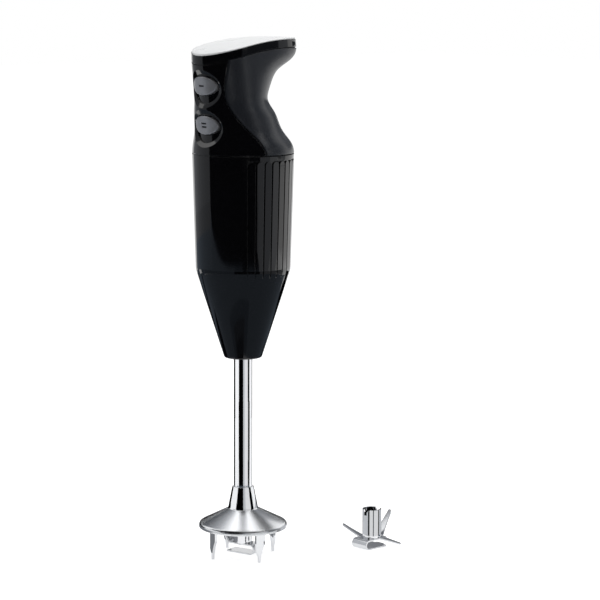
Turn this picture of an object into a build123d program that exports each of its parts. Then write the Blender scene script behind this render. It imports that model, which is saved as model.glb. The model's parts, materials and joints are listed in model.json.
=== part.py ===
from build123d import *
import os
from dataclasses import dataclass
from math import cos, radians, sin, tan

# An immersion blender that stands on its four prongs. Millimetres, +Z up: z = 0 is the table, the
# Z axis is the shaft axis, the buttons face -X and the hook of the grip points to +X.

# Fits shared by several pieces.
SEAT_GAP = 0.02         # radial gap of a pressed or seated round piece
RUN_GAP = 0.04          # radial gap of a running shaft
SLIDE_GAP = 0.05        # radial gap of a push-on hub or a sliding brush
LOCATE_GAP = 0.2        # gap round a piece that is located but not pressed
MOVE_GAP = 0.35         # gap between pieces that move against each other
WALL = 2.4              # wall of the moulded shells
SEAM_WIDTH = 0.7        # shadow gap along the seams of the shells
SEAM_DEPTH = 0.7
SEAM_LIP = (0.6, 0.6)   # chamfer of the panel at its seam: across the outside, and deep
TOUCH = 0.02            # how near an edge lies to a face that it belongs to

# Shaft tube and drive spindle.
TUBE_RADIUS = 6.0
TUBE_WALL = 0.8
TUBE_BOTTOM = 38.0
TUBE_TOP = 153.0
SPINDLE_RADIUS = 2.5
SPINDLE_TOP = 161.0
HEAD_RADIUS = 5.2       # thick drive end of the spindle, inside the blade hub
HEAD_BOTTOM = 13.2
HEAD_TOP = 31.0
BUSH_LENGTH = 9.0
LOWER_BUSH_Z = 42.5
UPPER_BUSH_Z = 138.0
SEAL_HEIGHT = 3.0
PIN_RADIUS = 1.0
PIN_BELOW_HUB_TOP = 2.6
CLIP_Z = 18.0
CLIP_HEIGHT = 1.0
CLIP_DEPTH = 0.6

# Guard: neck, bell and prongs.
NECK_TOP_Z = 46.8
NECK_TOP_RADIUS = 7.0
NECK_BASE_Z = 32.2
NECK_BASE_RADIUS = 9.8
NECK_BORE = 7.6
NECK_BORE_TOP = 36.5
SHOULDER_RADIUS = 5.0
RIM_RADIUS = 28.8
RIM_Z = 19.6
RIM_SHOULDER_Z = 22.5   # where the cone of the bell would meet the side of the rim
RIM_WALL = 1.5
BELL_DROP = 1.57        # wall of the bell measured straight down
PRONG_COUNT = 4
PRONG_AZIMUTH = -10.0
PRONG_INNER = 21.4
PRONG_THICK = 1.8
PRONG_WIDTH = 6.6
PRONG_FOOT = 1.2        # flat that the prong stands on
PRONG_FOOT_START = 2.0  # from the leading edge of the prong to its foot
PRONG_TIP_RISE = 7.0    # where the leading edge starts to curve in to the foot
PRONG_HEEL_RISE = 12.5  # where the trailing edge does
PRONG_BOW = 0.75        # how far both curved edges bow out
LUG_SPAN = 46.0
LUG_OFFSET = -10.0      # the prong hangs near one end of its lug
LUG_THICK = 1.4

# Blades, in their own frame: z = 0 is the underside of the lower layer.
SHEET = 1.0
FOLD_HEIGHT = 6.8
FOLD_REACH = 12.2
LOWER_REACH = 9.5
WHIP_WIDTH = 10.0
CUTTER_WIDTH = 13.0
TAIL_BEND = 7.5         # from the axis to where the upper layer turns up
BEND_RADIUS = 2.0
WHIP_TAIL = (60.0, 6.0)     # rise in degrees and length of the upturned end
CUTTER_TAIL = (57.0, 19.0)
LEAF_TIP = 1.4          # half-width of a pointed arm at its tip
LEAF_BOW = 1.2          # how far the cutting edge of an arm bows out
TAIL_HALF_ROOT = 7.0
ARM_HALF_ROOT = 5.0
ARM_BEND = 6.5          # from the axis to where a side arm is bent
LOW_ARM_RISE = -11.0    # degrees from level
HIGH_ARM_RISE = 27.0
ARM_SKEW = 25.0         # turn of the side arms from square to the folded strip
HUB_RADIUS = 6.3
HUB_TOP = 26.0
HUB_FLOOR = 10.5
NOTCH_DEPTH = 4.0
NOTCH_PLAY = 0.15       # beside the drive pin
NOTCH_MOUTH = 1.6       # height of the flared mouth of a notch
NOTCH_FLARES = (0.6, 2.2)
BLADE_REACH = 20.6      # swept radius, inside the prongs
FITTED_Z = 2.4          # the fitted blade clears the table
FITTED_AZIMUTH = -75.0
SPARE_X = 80.0
SPARE_Y = -38.0
SPARE_AZIMUTH = -177.0

# Motor housing: nose, cone and cylinder.
NOSE_Z = 132.0
NOSE_RADIUS = 12.1
NOSE_ROUND = 1.6
BREAK_Z = 189.6
BREAK_RADIUS = 30.6
BREAK_ROUND = 14.0
PARTING_Z = 264.2
PARTING_RADIUS = 32.7
CONE_WALL = 2.52        # wall of the cone measured level
SLEEVE_RADIUS = 8.4
SLEEVE_TOP = 150.0
SLEEVE_FLOOR = 139.0
BRACKET_SEAT = 178.0
BRACKET_LEDGE = 1.2
CAVITY_RADIUS = 28.3
BRIDGE_SEAT = 250.0
RIM_BORE = 29.8
NOSE_SEAL_RADIUS = 8.0
NOSE_SEAL_HEIGHT = 2.0

# Ribs round the back and sides of the housing.
RIB_COUNT = 25
RIB_PITCH = 10.0
RIB_WIDTH = 4.5
RIB_TOP = 260.9
RIB_FIELD_TOP = 261.5
RIB_DEPTH = 0.9

# Upper body: the grip with its hook.
TOP_ARC = (22.9, 154.9)     # x and z of the middle of the arc that the top follows
CAP_SEAM_RADIUS = 177.2     # radius of the cap seam about that middle
CAP_BAND = 4.8
CAP_PLATE = 2.2
CAP_LIP = 3.0
INLAY_INSET = 0.5
INLAY_EDGE = 0.4
CROWN = 0.8             # rise of the inlay from its long edges to its middle
FLANGE_BORE = 22.0
FLANGE_THICK = 1.8
SPIGOT_WALL = 2.0
SPIGOT_BOTTOM = 258.0

# Buttons and their wells, centred on the front.
WELL_Z = (281.5, 306.3)
WELL_HALF_WIDTH = 11.6
WELL_HALF_HEIGHT = 9.3
WELL_LIP = (2.8, 1.5)   # sloped lip of a well: across the outside, and deep
BUTTON_RISE = 2.0       # the button sits above the middle of its well
BUTTON_HALF_WIDTH = 11.0
BUTTON_HALF_HEIGHT = 6.0
BUTTON_SINK = 0.2
BUTTON_ROUND = 0.8
BUTTON_TRAVEL = 2.0
FLANGE_BACK_X = -22.0
BUTTON_FLANGE = 1.2
BUTTON_FLANGE_EDGE = 1.6
MARK_WIDTH = 1.1
MARK_LENGTH = 4.6
MARK_SPACING = 2.2
MARK_DEPTH = 0.5

# Switches, carrier and circuit board.
SWITCH_FRONT_X = FLANGE_BACK_X + BUTTON_TRAVEL + 0.6
SWITCH_DEPTH = 9.0
SWITCH_HALF_WIDTH = 6.5
SWITCH_HALF_HEIGHT = 5.0
PLUNGER_RADIUS = 1.5
PLUNGER_LENGTH = 5.0
CARRIER_THICK = 1.6
CARRIER_HALF_WIDTH = 15.0
CARRIER_Z = (274.5, 316.0)
POST_Y = 11.0
POST_Z = 293.9
POST_RADIUS = 3.6
SCREW_RADIUS = 1.5
SCREW_HEAD_RADIUS = 2.8
SCREW_HEAD_HEIGHT = 2.2
PANEL_SCREW_SEAT_X = 3.0
PANEL_SCREW_END_X = -21.0
BOARD_STANDOFF = 4.0
STANDOFF_RADIUS = 1.6
BOARD_THICK = 1.6
BOARD_HALF_WIDTH = 5.8
BOARD_Z = (276.0, 313.0)
CAPACITOR = (7.0, 10.0, 14.0)
CAPACITOR_Z = 303.0
DIODE_RADIUS = 1.4
DIODE_LENGTH = 5.2
DIODE_Z = 284.0

# Cord gland in the end of the hook, and the clamp behind it.
GLAND_Z = 326.4
GLAND_RADIUS = 3.6
GLAND_BORE = 2.7
GLAND_X = (26.0, 35.4)
CLAMP_X = (16.5, 22.5)
CLAMP_HALF_WIDTH = 9.5
CLAMP_SEAT_Z = 327.2
CLAMP_THICK = 2.0
CLAMP_SCREW_Y = 6.6
CLAMP_SCREW_LENGTH = 8.0

# Motor.
MOTOR_SHAFT_RADIUS = 3.0
MOTOR_SHAFT_TOP = 262.0
STACK_Z = (199.0, 227.0)
YOKE_BORE = 22.8
POLE_BORE = 15.0
POLE_TIP = 17.2
POLE_TIP_SPAN = 116.0
POLE_NECK_SPAN = 58.0
COIL_RADII = (17.5, 22.5)
COIL_SPAN = 114.0
COIL_OVERHANG = 6.0
COIL_GAP = 0.3
ARMATURE_RADIUS = 14.4
ARMATURE_SLOTS = 12
SLOT_WIDTH = 2.2
SLOT_DEPTH = 6.0
WINDING_RADIUS = 12.6
WINDING_HEIGHT = 7.2
COMMUTATOR_RADIUS = 8.5
COMMUTATOR_Z = (236.5, 247.5)
COMMUTATOR_GROOVE = 0.5
FAN_RADIUS = 16.6
FAN_Z = (182.6, 190.0)
FAN_BLADES = 9
FAN_PLATE = 1.4
FAN_HUB = 6.0
COUPLING_RADIUS = 7.0
COUPLING_Z = (155.0, 168.5)
FRAME_RADII = (23.4, 26.4)
SKIRT_RADII = (22.9, 24.9)
BRACKET_PLATE = 3.0
BRIDGE_BORE = 22.4
BRIDGE_TOP = 257.5
SPOKE_WIDTH = 8.0
SPOKE_HEIGHT = 4.0
MOTOR_SCREW_RADIUS = 19.3    # where the long screws pass between the coils
LOCK_RING_HEIGHT = 2.6
HANDLE_SCREW_RADIUS = 25.5
HANDLE_SCREW_AZIMUTHS = (140.0, 220.0)
HANDLE_SCREW_LENGTH = 15.0


@dataclass(frozen=True)
class Bearing:
    """One ball bearing on the motor shaft: sizes and lower face."""

    bottom: float
    height: float
    inner_outside: float
    outer_inside: float
    outside: float
    ball_count: int = 8


UPPER_BEARING = Bearing(252.2, 5.0, 4.6, 6.6, 8.5)
LOWER_BEARING = Bearing(171.4, 6.0, 4.8, 7.2, 9.5)

# Carbon brushes, on the X axis either side of the commutator.
BRUSH_Z = 242.0
BRUSH_WIDTH = 6.0
BRUSH_HEIGHT = 8.0
BRUSH_LENGTH = 10.0
HOLDER_WALL = 0.7
HOLDER_X = (10.8, 27.8)
BRUSH_SPRING_RADIUS = 2.3
BRUSH_SPRING_WIRE = 0.4
BRUSH_SPRING_TURNS = 5


@dataclass(frozen=True)
class Station:
    """One level outline of the grip: a half ellipse in front, a blunter half behind."""

    z: float
    front: float
    middle: float
    rear: float
    half_width: float
    bluntness: float


GRIP = (
    Station(254.0, -PARTING_RADIUS, 0.0, PARTING_RADIUS, PARTING_RADIUS, 2.0),
    Station(259.0, -PARTING_RADIUS, 0.0, PARTING_RADIUS, PARTING_RADIUS, 2.0),
    Station(PARTING_Z, -PARTING_RADIUS, 0.0, PARTING_RADIUS, PARTING_RADIUS, 2.0),
    Station(268.5, -32.6, 0.0, 32.0, 32.3, 2.0),
    Station(274.0, -32.2, -1.5, 28.4, 30.4, 2.0),
    Station(285.5, -32.8, -5.5, 21.2, 26.6, 2.0),
    Station(296.0, -33.6, -9.2, 15.0, 23.8, 2.0),
    Station(303.0, -34.0, -10.0, 14.0, 23.0, 2.0),
    Station(311.0, -34.9, -10.6, 17.2, 22.6, 2.2),
    Station(319.0, -36.0, -11.4, 23.6, 22.4, 2.6),
    Station(324.0, -36.3, -12.0, 33.0, 22.3, 2.8),
    Station(328.5, -36.4, -12.2, 36.6, 22.3, 3.0),
    Station(334.0, -36.5, -12.3, 36.9, 22.3, 3.0),
    Station(339.0, -36.5, -12.3, 37.0, 22.3, 3.0),
    Station(344.0, -36.5, -12.3, 37.0, 22.3, 3.0),
)
OUTLINE_STEPS = 6       # points on a quarter of an outline

BASE = (Align.CENTER, Align.CENTER, Align.MIN)
parts = {}


def rod(radius, z0, z1):
    """Upright cylinder on the Z axis."""
    return Pos(0, 0, z0) * Cylinder(radius, z1 - z0, align=BASE)


def ring(outer, inner, z0, z1):
    """Upright ring on the Z axis."""
    return rod(outer, z0, z1) - rod(inner, z0, z1)


def block(x, y, z):
    """Box between two x, two y and two z values."""
    size = (x[1] - x[0], y[1] - y[0], z[1] - z[0])
    return Pos(sum(x) / 2, sum(y) / 2, sum(z) / 2) * Box(*size)


def rod_along_x(radius, x0, x1, y, z):
    """Cylinder along X between two x values."""
    return Pos(x0, y, z) * Rot(0, 90, 0) * Cylinder(radius, x1 - x0, align=BASE)


def oval_along_x(half_width, half_height, x0, x1, z):
    """Oval bar along X, centred on y = 0."""
    face = Plane((x0, 0, z), x_dir=(0, 1, 0), z_dir=(1, 0, 0)) * Ellipse(half_width, half_height)
    return extrude(face, amount=x1 - x0)


def turned(points, rounds=None):
    """Solid of revolution about Z from (radius, z) corners, each with its own rounding."""
    corners = [(r, 0, z) for r, z in points]
    if rounds is None:
        outline = Polyline(*corners, close=True)
    else:
        outline = FilletPolyline(*corners, radius=rounds, close=True)
    return revolve(make_face(outline), axis=Axis.Z)


def sector(r0, r1, z0, z1, centre, span):
    """Piece of a ring, given its middle azimuth and its span in degrees."""
    face = make_face(Polyline((r0, 0, z0), (r1, 0, z0), (r1, 0, z1), (r0, 0, z1), close=True))
    return Rot(0, 0, centre - span / 2) * revolve(face, axis=Axis.Z, revolution_arc=span)


def outline(station, inset):
    """Closed level face of the grip at one station, drawn in by an inset."""
    half = station.half_width - inset
    front = station.middle - station.front - inset
    rear = station.rear - station.middle - inset
    points = []
    for step in range(4 * OUTLINE_STEPS):
        angle = radians(90.0 * step / OUTLINE_STEPS)
        power = station.bluntness if cos(angle) > 0 else 2.0
        reach = rear if cos(angle) > 0 else front
        swell = (abs(cos(angle)) ** power + abs(sin(angle)) ** power) ** (-1 / power)
        points.append((station.middle + reach * swell * cos(angle), half * swell * sin(angle), station.z))
    return make_face(Spline(*points, periodic=True))


def grip(inset):
    """Whole grip from below the parting line to above the cap, drawn in by an inset."""
    return loft([outline(station, inset) for station in GRIP])


def cap_slab(low, high):
    """Arched slab between two heights over the cap seam."""
    outer = Cylinder(CAP_SEAM_RADIUS + high, 160)
    inner = Cylinder(CAP_SEAM_RADIUS + low, 160)
    return Pos(TOP_ARC[0], 0, TOP_ARC[1]) * Rot(90, 0, 0) * (outer - inner)


def front_block(shift):
    """Everything in front of the seam between switch panel and handle, moved back by a shift."""
    seam = [(-27.0, 345), (-27.4, 313), (-27.0, 301), (-20.3, 286), (-10.2, 273), (-8.0, 255)]
    edge = Spline(*[(x + shift, 0, z) for x, z in seam])
    rest = Polyline(edge @ 1, (-70, 0, 255), (-70, 0, 345), edge @ 0)
    return extrude(make_face(edge + rest), amount=60, dir=(0, 1, 0), both=True)


OUTER = grip(0)
INNER = grip(WALL)
SKIN = OUTER - grip(SEAM_DEPTH)
BACKED = grip(2 * WALL)
ABOVE_PARTING = block((-80, 80), (-80, 80), (PARTING_Z, 360))
FRONT = front_block(0)
SEAM_BAND = front_block(SEAM_WIDTH / 2) - front_block(-SEAM_WIDTH / 2)
SEAMS = SKIN & (cap_slab(-SEAM_WIDTH, 0) + SEAM_BAND)
PARTING_SEAM = SKIN & block((-80, 80), (-80, 80), (PARTING_Z, PARTING_Z + SEAM_WIDTH))
SHELL = (OUTER - INNER) & ABOVE_PARTING
SHELL = SHELL - cap_slab(0, 60)


def lies_on(edge, shape):
    """Whether the middle of an edge lies on a face of a shape."""
    middle = Vertex(*edge.position_at(0.5))
    return min(middle.distance_to(face) for face in shape.faces()) < TOUCH


def slope_outer_edges(shell, cutter, across, deep):
    """Chamfers the edges that a cutter left on the outside of a shell."""
    cut_edges = [edge for edge in shell.edges() if lies_on(edge, cutter)]
    lip = [edge for edge in cut_edges if lies_on(edge, OUTER)]
    meeting = [face for face in shell.faces() if lies_on(lip[0], face)]
    outside = max(meeting, key=lambda face: face.area)
    return chamfer(lip, across, deep, reference=outside)


SWITCH_BACK_X = SWITCH_FRONT_X + SWITCH_DEPTH
CARRIER_BACK_X = SWITCH_BACK_X + CARRIER_THICK
BUTTON_Z = tuple(z + BUTTON_RISE for z in WELL_Z)


def switch_panel():
    """Front shell with two dished wells, each with the hole for its button."""
    panel = SHELL & FRONT
    for well_z in WELL_Z:
        dish = oval_along_x(WELL_HALF_WIDTH + WALL, WELL_HALF_HEIGHT + WALL, -50, -14, well_z)
        panel += (INNER - BACKED) & dish & FRONT & ABOVE_PARTING - cap_slab(-CAP_LIP - 1, 60)
    for side in (-1, 1):
        post = rod_along_x(POST_RADIUS, -60, SWITCH_BACK_X, side * POST_Y, POST_Z)
        panel += post & grip(WALL / 2) & FRONT
        panel += post & grip(WALL + LOCATE_GAP)
    for well_z in WELL_Z:
        well = oval_along_x(WELL_HALF_WIDTH, WELL_HALF_HEIGHT, -50, -14, well_z)
        panel -= (OUTER - INNER) & well
        panel = slope_outer_edges(panel, well, *WELL_LIP)
        hole = oval_along_x(BUTTON_HALF_WIDTH + MOVE_GAP, BUTTON_HALF_HEIGHT + MOVE_GAP, -50, -14,
                            well_z + BUTTON_RISE)
        panel -= hole
    for side in (-1, 1):
        panel -= rod_along_x(SCREW_RADIUS + SEAT_GAP, PANEL_SCREW_END_X - 1, 0, side * POST_Y, POST_Z)
    panel = panel - SEAMS - PARTING_SEAM
    return slope_outer_edges(panel, front_block(-SEAM_WIDTH / 2), *SEAM_LIP)


def handle_shell():
    """Rear shell with the hook, the flange on the motor housing and the screw bosses."""
    handle = SHELL - FRONT
    flange_top = PARTING_Z + SEAM_WIDTH + FLANGE_THICK
    spigot = RIM_BORE - LOCATE_GAP
    handle += ring(spigot, FLANGE_BORE, PARTING_Z + SEAM_WIDTH, flange_top)
    web = ring(PARTING_RADIUS, spigot - SPIGOT_WALL, PARTING_Z + SEAM_WIDTH, flange_top)
    handle += (web & grip(WALL / 2)) - front_block(MOVE_GAP)
    handle += ring(spigot, spigot - SPIGOT_WALL, SPIGOT_BOTTOM, flange_top)
    for side in (-1, 1):
        boss = rod_along_x(POST_RADIUS + 1, CARRIER_BACK_X, 40, side * POST_Y, POST_Z)
        handle += boss & grip(WALL / 2)
    for side in (-1, 1):
        y = side * POST_Y
        handle -= rod_along_x(SCREW_RADIUS + LOCATE_GAP, CARRIER_BACK_X - 1, 40, y, POST_Z)
        handle -= rod_along_x(SCREW_HEAD_RADIUS + LOCATE_GAP, PANEL_SCREW_SEAT_X, 40, y, POST_Z)
    for azimuth in HANDLE_SCREW_AZIMUTHS:
        at = Rot(0, 0, azimuth) * Pos(HANDLE_SCREW_RADIUS, 0, 0)
        handle -= at * rod(SCREW_RADIUS + LOCATE_GAP, SPIGOT_BOTTOM, flange_top)
    saddle = block(CLAMP_X, (-CLAMP_HALF_WIDTH, CLAMP_HALF_WIDTH), (300, CLAMP_SEAT_Z))
    handle += saddle & grip(WALL / 2)
    handle -= rod_along_x(GLAND_BORE, CLAMP_X[0] - 1, CLAMP_X[1] + 1, 0, CLAMP_SEAT_Z - 1)
    for side in (-1, 1):
        hole = rod(SCREW_RADIUS + SEAT_GAP, CLAMP_SEAT_Z - CLAMP_SCREW_LENGTH, CLAMP_SEAT_Z + 1)
        handle -= Pos(sum(CLAMP_X) / 2, side * CLAMP_SCREW_Y, 0) * hole
    handle -= rod_along_x(GLAND_RADIUS + SEAT_GAP, GLAND_X[0], 60, 0, GLAND_Z)
    return handle - SEAMS - PARTING_SEAM


def top_cap():
    """Dark lid over both shells, with a lip that locates it."""
    cap = OUTER & cap_slab(0, CAP_BAND)
    cap -= INNER & cap_slab(-1, CAP_BAND - CAP_PLATE)
    lip = (grip(WALL + LOCATE_GAP) - BACKED) & cap_slab(-CAP_LIP, CAP_BAND - CAP_PLATE)
    lip -= rod_along_x(GLAND_RADIUS + LOCATE_GAP, 20, 60, 0, GLAND_Z)
    return cap + lip


def top_inlay():
    """Pale plate that covers the cap, crowned across its width."""
    spine = CAP_SEAM_RADIUS + CAP_BAND + INLAY_EDGE + CROWN
    plate = grip(INLAY_INSET) & cap_slab(CAP_BAND, CAP_BAND + INLAY_EDGE + CROWN)
    half = GRIP[-1].half_width
    crown = ThreePointArc((0, -half, spine - CROWN), (0, 0, spine), (0, half, spine - CROWN))
    rest = Polyline(crown @ 1, (0, half, 0), (0, -half, 0), crown @ 0)
    disc = revolve(make_face(crown + rest), axis=Axis.Y)
    return plate & Pos(TOP_ARC[0], 0, TOP_ARC[1]) * disc


def motor_housing():
    """Cup that holds the motor: nose, cone and ribbed cylinder."""
    outside = turned(
        [(0, NOSE_Z), (NOSE_RADIUS, NOSE_Z), (BREAK_RADIUS, BREAK_Z), (PARTING_RADIUS, PARTING_Z),
         (0, PARTING_Z)],
        (0, NOSE_ROUND, BREAK_ROUND, 0, 0))
    slope = (BREAK_RADIUS - NOSE_RADIUS) / (BREAK_Z - NOSE_Z)

    def cone_bore(z):
        return NOSE_RADIUS + slope * (z - NOSE_Z) - CONE_WALL

    cavity = turned(
        [(0, NOSE_Z - 1), (TUBE_RADIUS + SEAT_GAP, NOSE_Z - 1), (TUBE_RADIUS + SEAT_GAP, SLEEVE_TOP),
         (SLEEVE_RADIUS, SLEEVE_TOP), (SLEEVE_RADIUS, SLEEVE_FLOOR),
         (cone_bore(SLEEVE_FLOOR) - BRACKET_LEDGE, SLEEVE_FLOOR),
         (cone_bore(BRACKET_SEAT) - BRACKET_LEDGE, BRACKET_SEAT), (cone_bore(BRACKET_SEAT), BRACKET_SEAT),
         (CAVITY_RADIUS, BREAK_Z), (CAVITY_RADIUS, BRIDGE_SEAT), (RIM_BORE, BRIDGE_SEAT),
         (RIM_BORE, PARTING_Z + 1), (0, PARTING_Z + 1)])
    taper = (PARTING_RADIUS - BREAK_RADIUS) / (PARTING_Z - BREAK_Z)

    def side(z):
        return BREAK_RADIUS + taper * (z - BREAK_Z)

    span = RIB_COUNT * RIB_PITCH
    low = BREAK_Z - 20
    field_face = make_face(Polyline(
        (side(low) - RIB_DEPTH, 0, low), (side(low) + 5, 0, low),
        (side(RIB_FIELD_TOP) + 5, 0, RIB_FIELD_TOP), (side(RIB_FIELD_TOP) - RIB_DEPTH, 0, RIB_FIELD_TOP),
        close=True))
    field = Rot(0, 0, -span / 2) * revolve(field_face, axis=Axis.Z, revolution_arc=span)
    bar = block((20, 45), (-RIB_WIDTH / 2, RIB_WIDTH / 2), (low, RIB_TOP - RIB_WIDTH / 2))
    bar += rod_along_x(RIB_WIDTH / 2, 20, 45, 0, RIB_TOP - RIB_WIDTH / 2)
    bars = [Rot(0, 0, RIB_PITCH * (i - (RIB_COUNT - 1) / 2)) * bar for i in range(RIB_COUNT)]
    field = field - bars
    seal_seat = rod(NOSE_SEAL_RADIUS + SEAT_GAP, NOSE_Z - 1, NOSE_Z + NOSE_SEAL_HEIGHT)
    return outside - field - cavity - seal_seat


def guard():
    """Steel neck and bell with four prongs under the rim, in one piece."""
    bore = TUBE_RADIUS + SEAT_GAP
    fall = (NECK_BASE_Z - RIM_SHOULDER_Z) / (RIM_RADIUS - NECK_BASE_RADIUS)

    def under(r):
        return NECK_BASE_Z - BELL_DROP - fall * (r - NECK_BASE_RADIUS)

    inner_rim = RIM_RADIUS - RIM_WALL
    bell = turned(
        [(bore, NECK_TOP_Z), (NECK_TOP_RADIUS, NECK_TOP_Z), (NECK_BASE_RADIUS, NECK_BASE_Z),
         (RIM_RADIUS, RIM_SHOULDER_Z), (RIM_RADIUS, RIM_Z), (inner_rim, RIM_Z),
         (inner_rim, under(inner_rim)), (NECK_BORE, under(NECK_BORE)), (NECK_BORE, NECK_BORE_TOP),
         (SHOULDER_RADIUS, NECK_BORE_TOP), (SHOULDER_RADIUS, TUBE_BOTTOM), (bore, TUBE_BOTTOM)],
        (0, 0.4, 0.9, 2.4, 0.5, 0, 0.6, 0, 0, 0, 0, 0))
    half = PRONG_WIDTH / 2
    foot = PRONG_FOOT_START - half
    tip = SagittaArc((-half, PRONG_TIP_RISE), (foot, 0), PRONG_BOW)
    heel = SagittaArc((foot + PRONG_FOOT, 0), (half, PRONG_HEEL_RISE), PRONG_BOW)
    sole = Line(tip @ 1, heel @ 0)
    root = Polyline(heel @ 1, (half, RIM_Z + LUG_THICK), (-half, RIM_Z + LUG_THICK), tip @ 0)
    upright = Plane((PRONG_INNER / 2, 0, 0), x_dir=(0, 1, 0), z_dir=(1, 0, 0))
    fang = extrude(upright * make_face(tip + sole + heel + root), amount=PRONG_INNER)
    prong = fang & ring(PRONG_INNER + PRONG_THICK, PRONG_INNER, 0, RIM_Z + LUG_THICK)
    lug = sector(PRONG_INNER, RIM_RADIUS - RIM_WALL / 2, RIM_Z, RIM_Z + LUG_THICK, LUG_OFFSET, LUG_SPAN)
    for i in range(PRONG_COUNT):
        bell += Rot(0, 0, PRONG_AZIMUTH + 360 * i / PRONG_COUNT) * (prong + lug)
    return bell


def drive_spindle():
    """Long spindle with its thick drive end, drilled for the pin and grooved for the clip."""
    spindle = rod(SPINDLE_RADIUS, HEAD_TOP, SPINDLE_TOP) + rod(HEAD_RADIUS, HEAD_BOTTOM, HEAD_TOP)
    spindle -= rod_along_x(PIN_RADIUS + SEAT_GAP, -10, 10, 0, FITTED_Z + HUB_TOP - PIN_BELOW_HUB_TOP)
    return spindle - ring(HEAD_RADIUS + 1, HEAD_RADIUS - CLIP_DEPTH, CLIP_Z, CLIP_Z + CLIP_HEIGHT)


def tool_clip():
    """Open spring ring in the groove of the drive end."""
    inner = HEAD_RADIUS - CLIP_DEPTH + SEAT_GAP
    low = CLIP_Z + SEAT_GAP
    clip = ring(HEAD_RADIUS, inner, low, low + CLIP_HEIGHT - 2 * SEAT_GAP)
    return clip - block((0, 10), (-1.2, 1.2), (low - 1, low + 3))


def blade_hub():
    """Hub of a blade: a cup with two flared notches for the drive pin."""
    hub = rod(HUB_RADIUS, FOLD_HEIGHT, HUB_TOP) - rod(HEAD_RADIUS + SLIDE_GAP, HUB_FLOOR, HUB_TOP)
    half = PIN_RADIUS + NOTCH_PLAY
    floor = HUB_TOP - NOTCH_DEPTH
    mouth = HUB_TOP - NOTCH_MOUTH
    notch = make_face(Polyline(
        (0, -half, floor), (0, half, floor), (0, half, mouth), (0, half + NOTCH_FLARES[1], HUB_TOP),
        (0, -half - NOTCH_FLARES[0], HUB_TOP), (0, -half, mouth), close=True))
    return hub - extrude(notch, amount=2 * HUB_RADIUS, dir=(1, 0, 0), both=True)


def folded_strip(width, rise, tail):
    """Strip folded back under itself; its upper layer ends in a tail bent up by an angle."""
    middle = SHEET / 2
    fold = FOLD_HEIGHT / 2 - middle
    top = FOLD_HEIGHT - middle
    tip = (-TAIL_BEND - tail * cos(radians(rise)), top + tail * sin(radians(rise)))
    end = FOLD_REACH - middle
    path = FilletPolyline(
        (-LOWER_REACH, middle), (end, middle), (end, top), (-TAIL_BEND, top), tip,
        radius=(fold - 0.01, fold - 0.01, BEND_RADIUS))
    return extrude(Plane.XZ * trace(path, line_width=SHEET), amount=width / 2, both=True)


def leaf(length, half_root):
    """Tall pointed block along +Y: one edge straight, the other bowed, the tip rounded."""
    straight = Line((-half_root, 0), (-LEAF_TIP, length - LEAF_TIP))
    tip = ThreePointArc(straight @ 1, (0, length), (LEAF_TIP, length - LEAF_TIP))
    bowed = SagittaArc(tip @ 1, (half_root, 0), -LEAF_BOW)
    return extrude(make_face(straight + tip + bowed + Line(bowed @ 1, straight @ 0)), amount=HUB_TOP)


def whipping_blade():
    """Fitted blade: the folded strip with a short upturned tail."""
    return folded_strip(WHIP_WIDTH, *WHIP_TAIL)


def side_arm(rise):
    """Pointed arm along +Y, in one sheet with the upper layer, bent by an angle."""
    top = FOLD_HEIGHT - SHEET / 2
    tip = top + (BLADE_REACH - ARM_BEND) * tan(radians(rise))
    path = FilletPolyline((0, top), (ARM_BEND, top), (BLADE_REACH, tip), radius=BEND_RADIUS)
    sheet = extrude(Plane.YZ * trace(path, line_width=SHEET), amount=CUTTER_WIDTH, both=True)
    return sheet & leaf(BLADE_REACH, ARM_HALF_ROOT)


def cutting_blade():
    """Loose blade: a stamped cross with one end folded under, one turned up and two pointed side arms."""
    rise, tail = CUTTER_TAIL
    tail_plan = Rot(0, 0, 90) * leaf(TAIL_BEND + tail * cos(radians(rise)), TAIL_HALF_ROOT)
    half = CUTTER_WIDTH / 2
    loop = block((-TAIL_BEND, FOLD_REACH), (-half, half), (0, FOLD_HEIGHT))
    blade = folded_strip(CUTTER_WIDTH, rise, tail) & (tail_plan + loop)
    blade += Rot(0, 0, ARM_SKEW) * side_arm(LOW_ARM_RISE)
    return blade + Rot(0, 0, 180 + ARM_SKEW) * side_arm(HIGH_ARM_RISE)


def speed_button(button_z, bars):
    """Oval button flush with the front, its bars engraved, with a flange that keeps it captive."""
    flange_front = FLANGE_BACK_X - BUTTON_FLANGE
    face = Pos(BUTTON_SINK, 0, 0) * OUTER
    button = face & oval_along_x(BUTTON_HALF_WIDTH, BUTTON_HALF_HEIGHT, -50, flange_front, button_z)
    curved = [edge for edge in button.edges() if edge.geom_type != GeomType.LINE]
    button = fillet([edge for edge in curved if edge.center().X < flange_front - 1], BUTTON_ROUND)
    button += oval_along_x(BUTTON_HALF_WIDTH + BUTTON_FLANGE_EDGE, BUTTON_HALF_HEIGHT + BUTTON_FLANGE_EDGE,
                           flange_front, FLANGE_BACK_X, button_z)
    mark_skin = face - Pos(MARK_DEPTH, 0, 0) * face
    for i in range(bars):
        middle = button_z + MARK_SPACING * (i - (bars - 1) / 2)
        bar = block((-50, FLANGE_BACK_X), (-MARK_LENGTH / 2, MARK_LENGTH / 2),
                    (middle - MARK_WIDTH / 2, middle + MARK_WIDTH / 2))
        button -= mark_skin & bar
    return button


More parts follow.
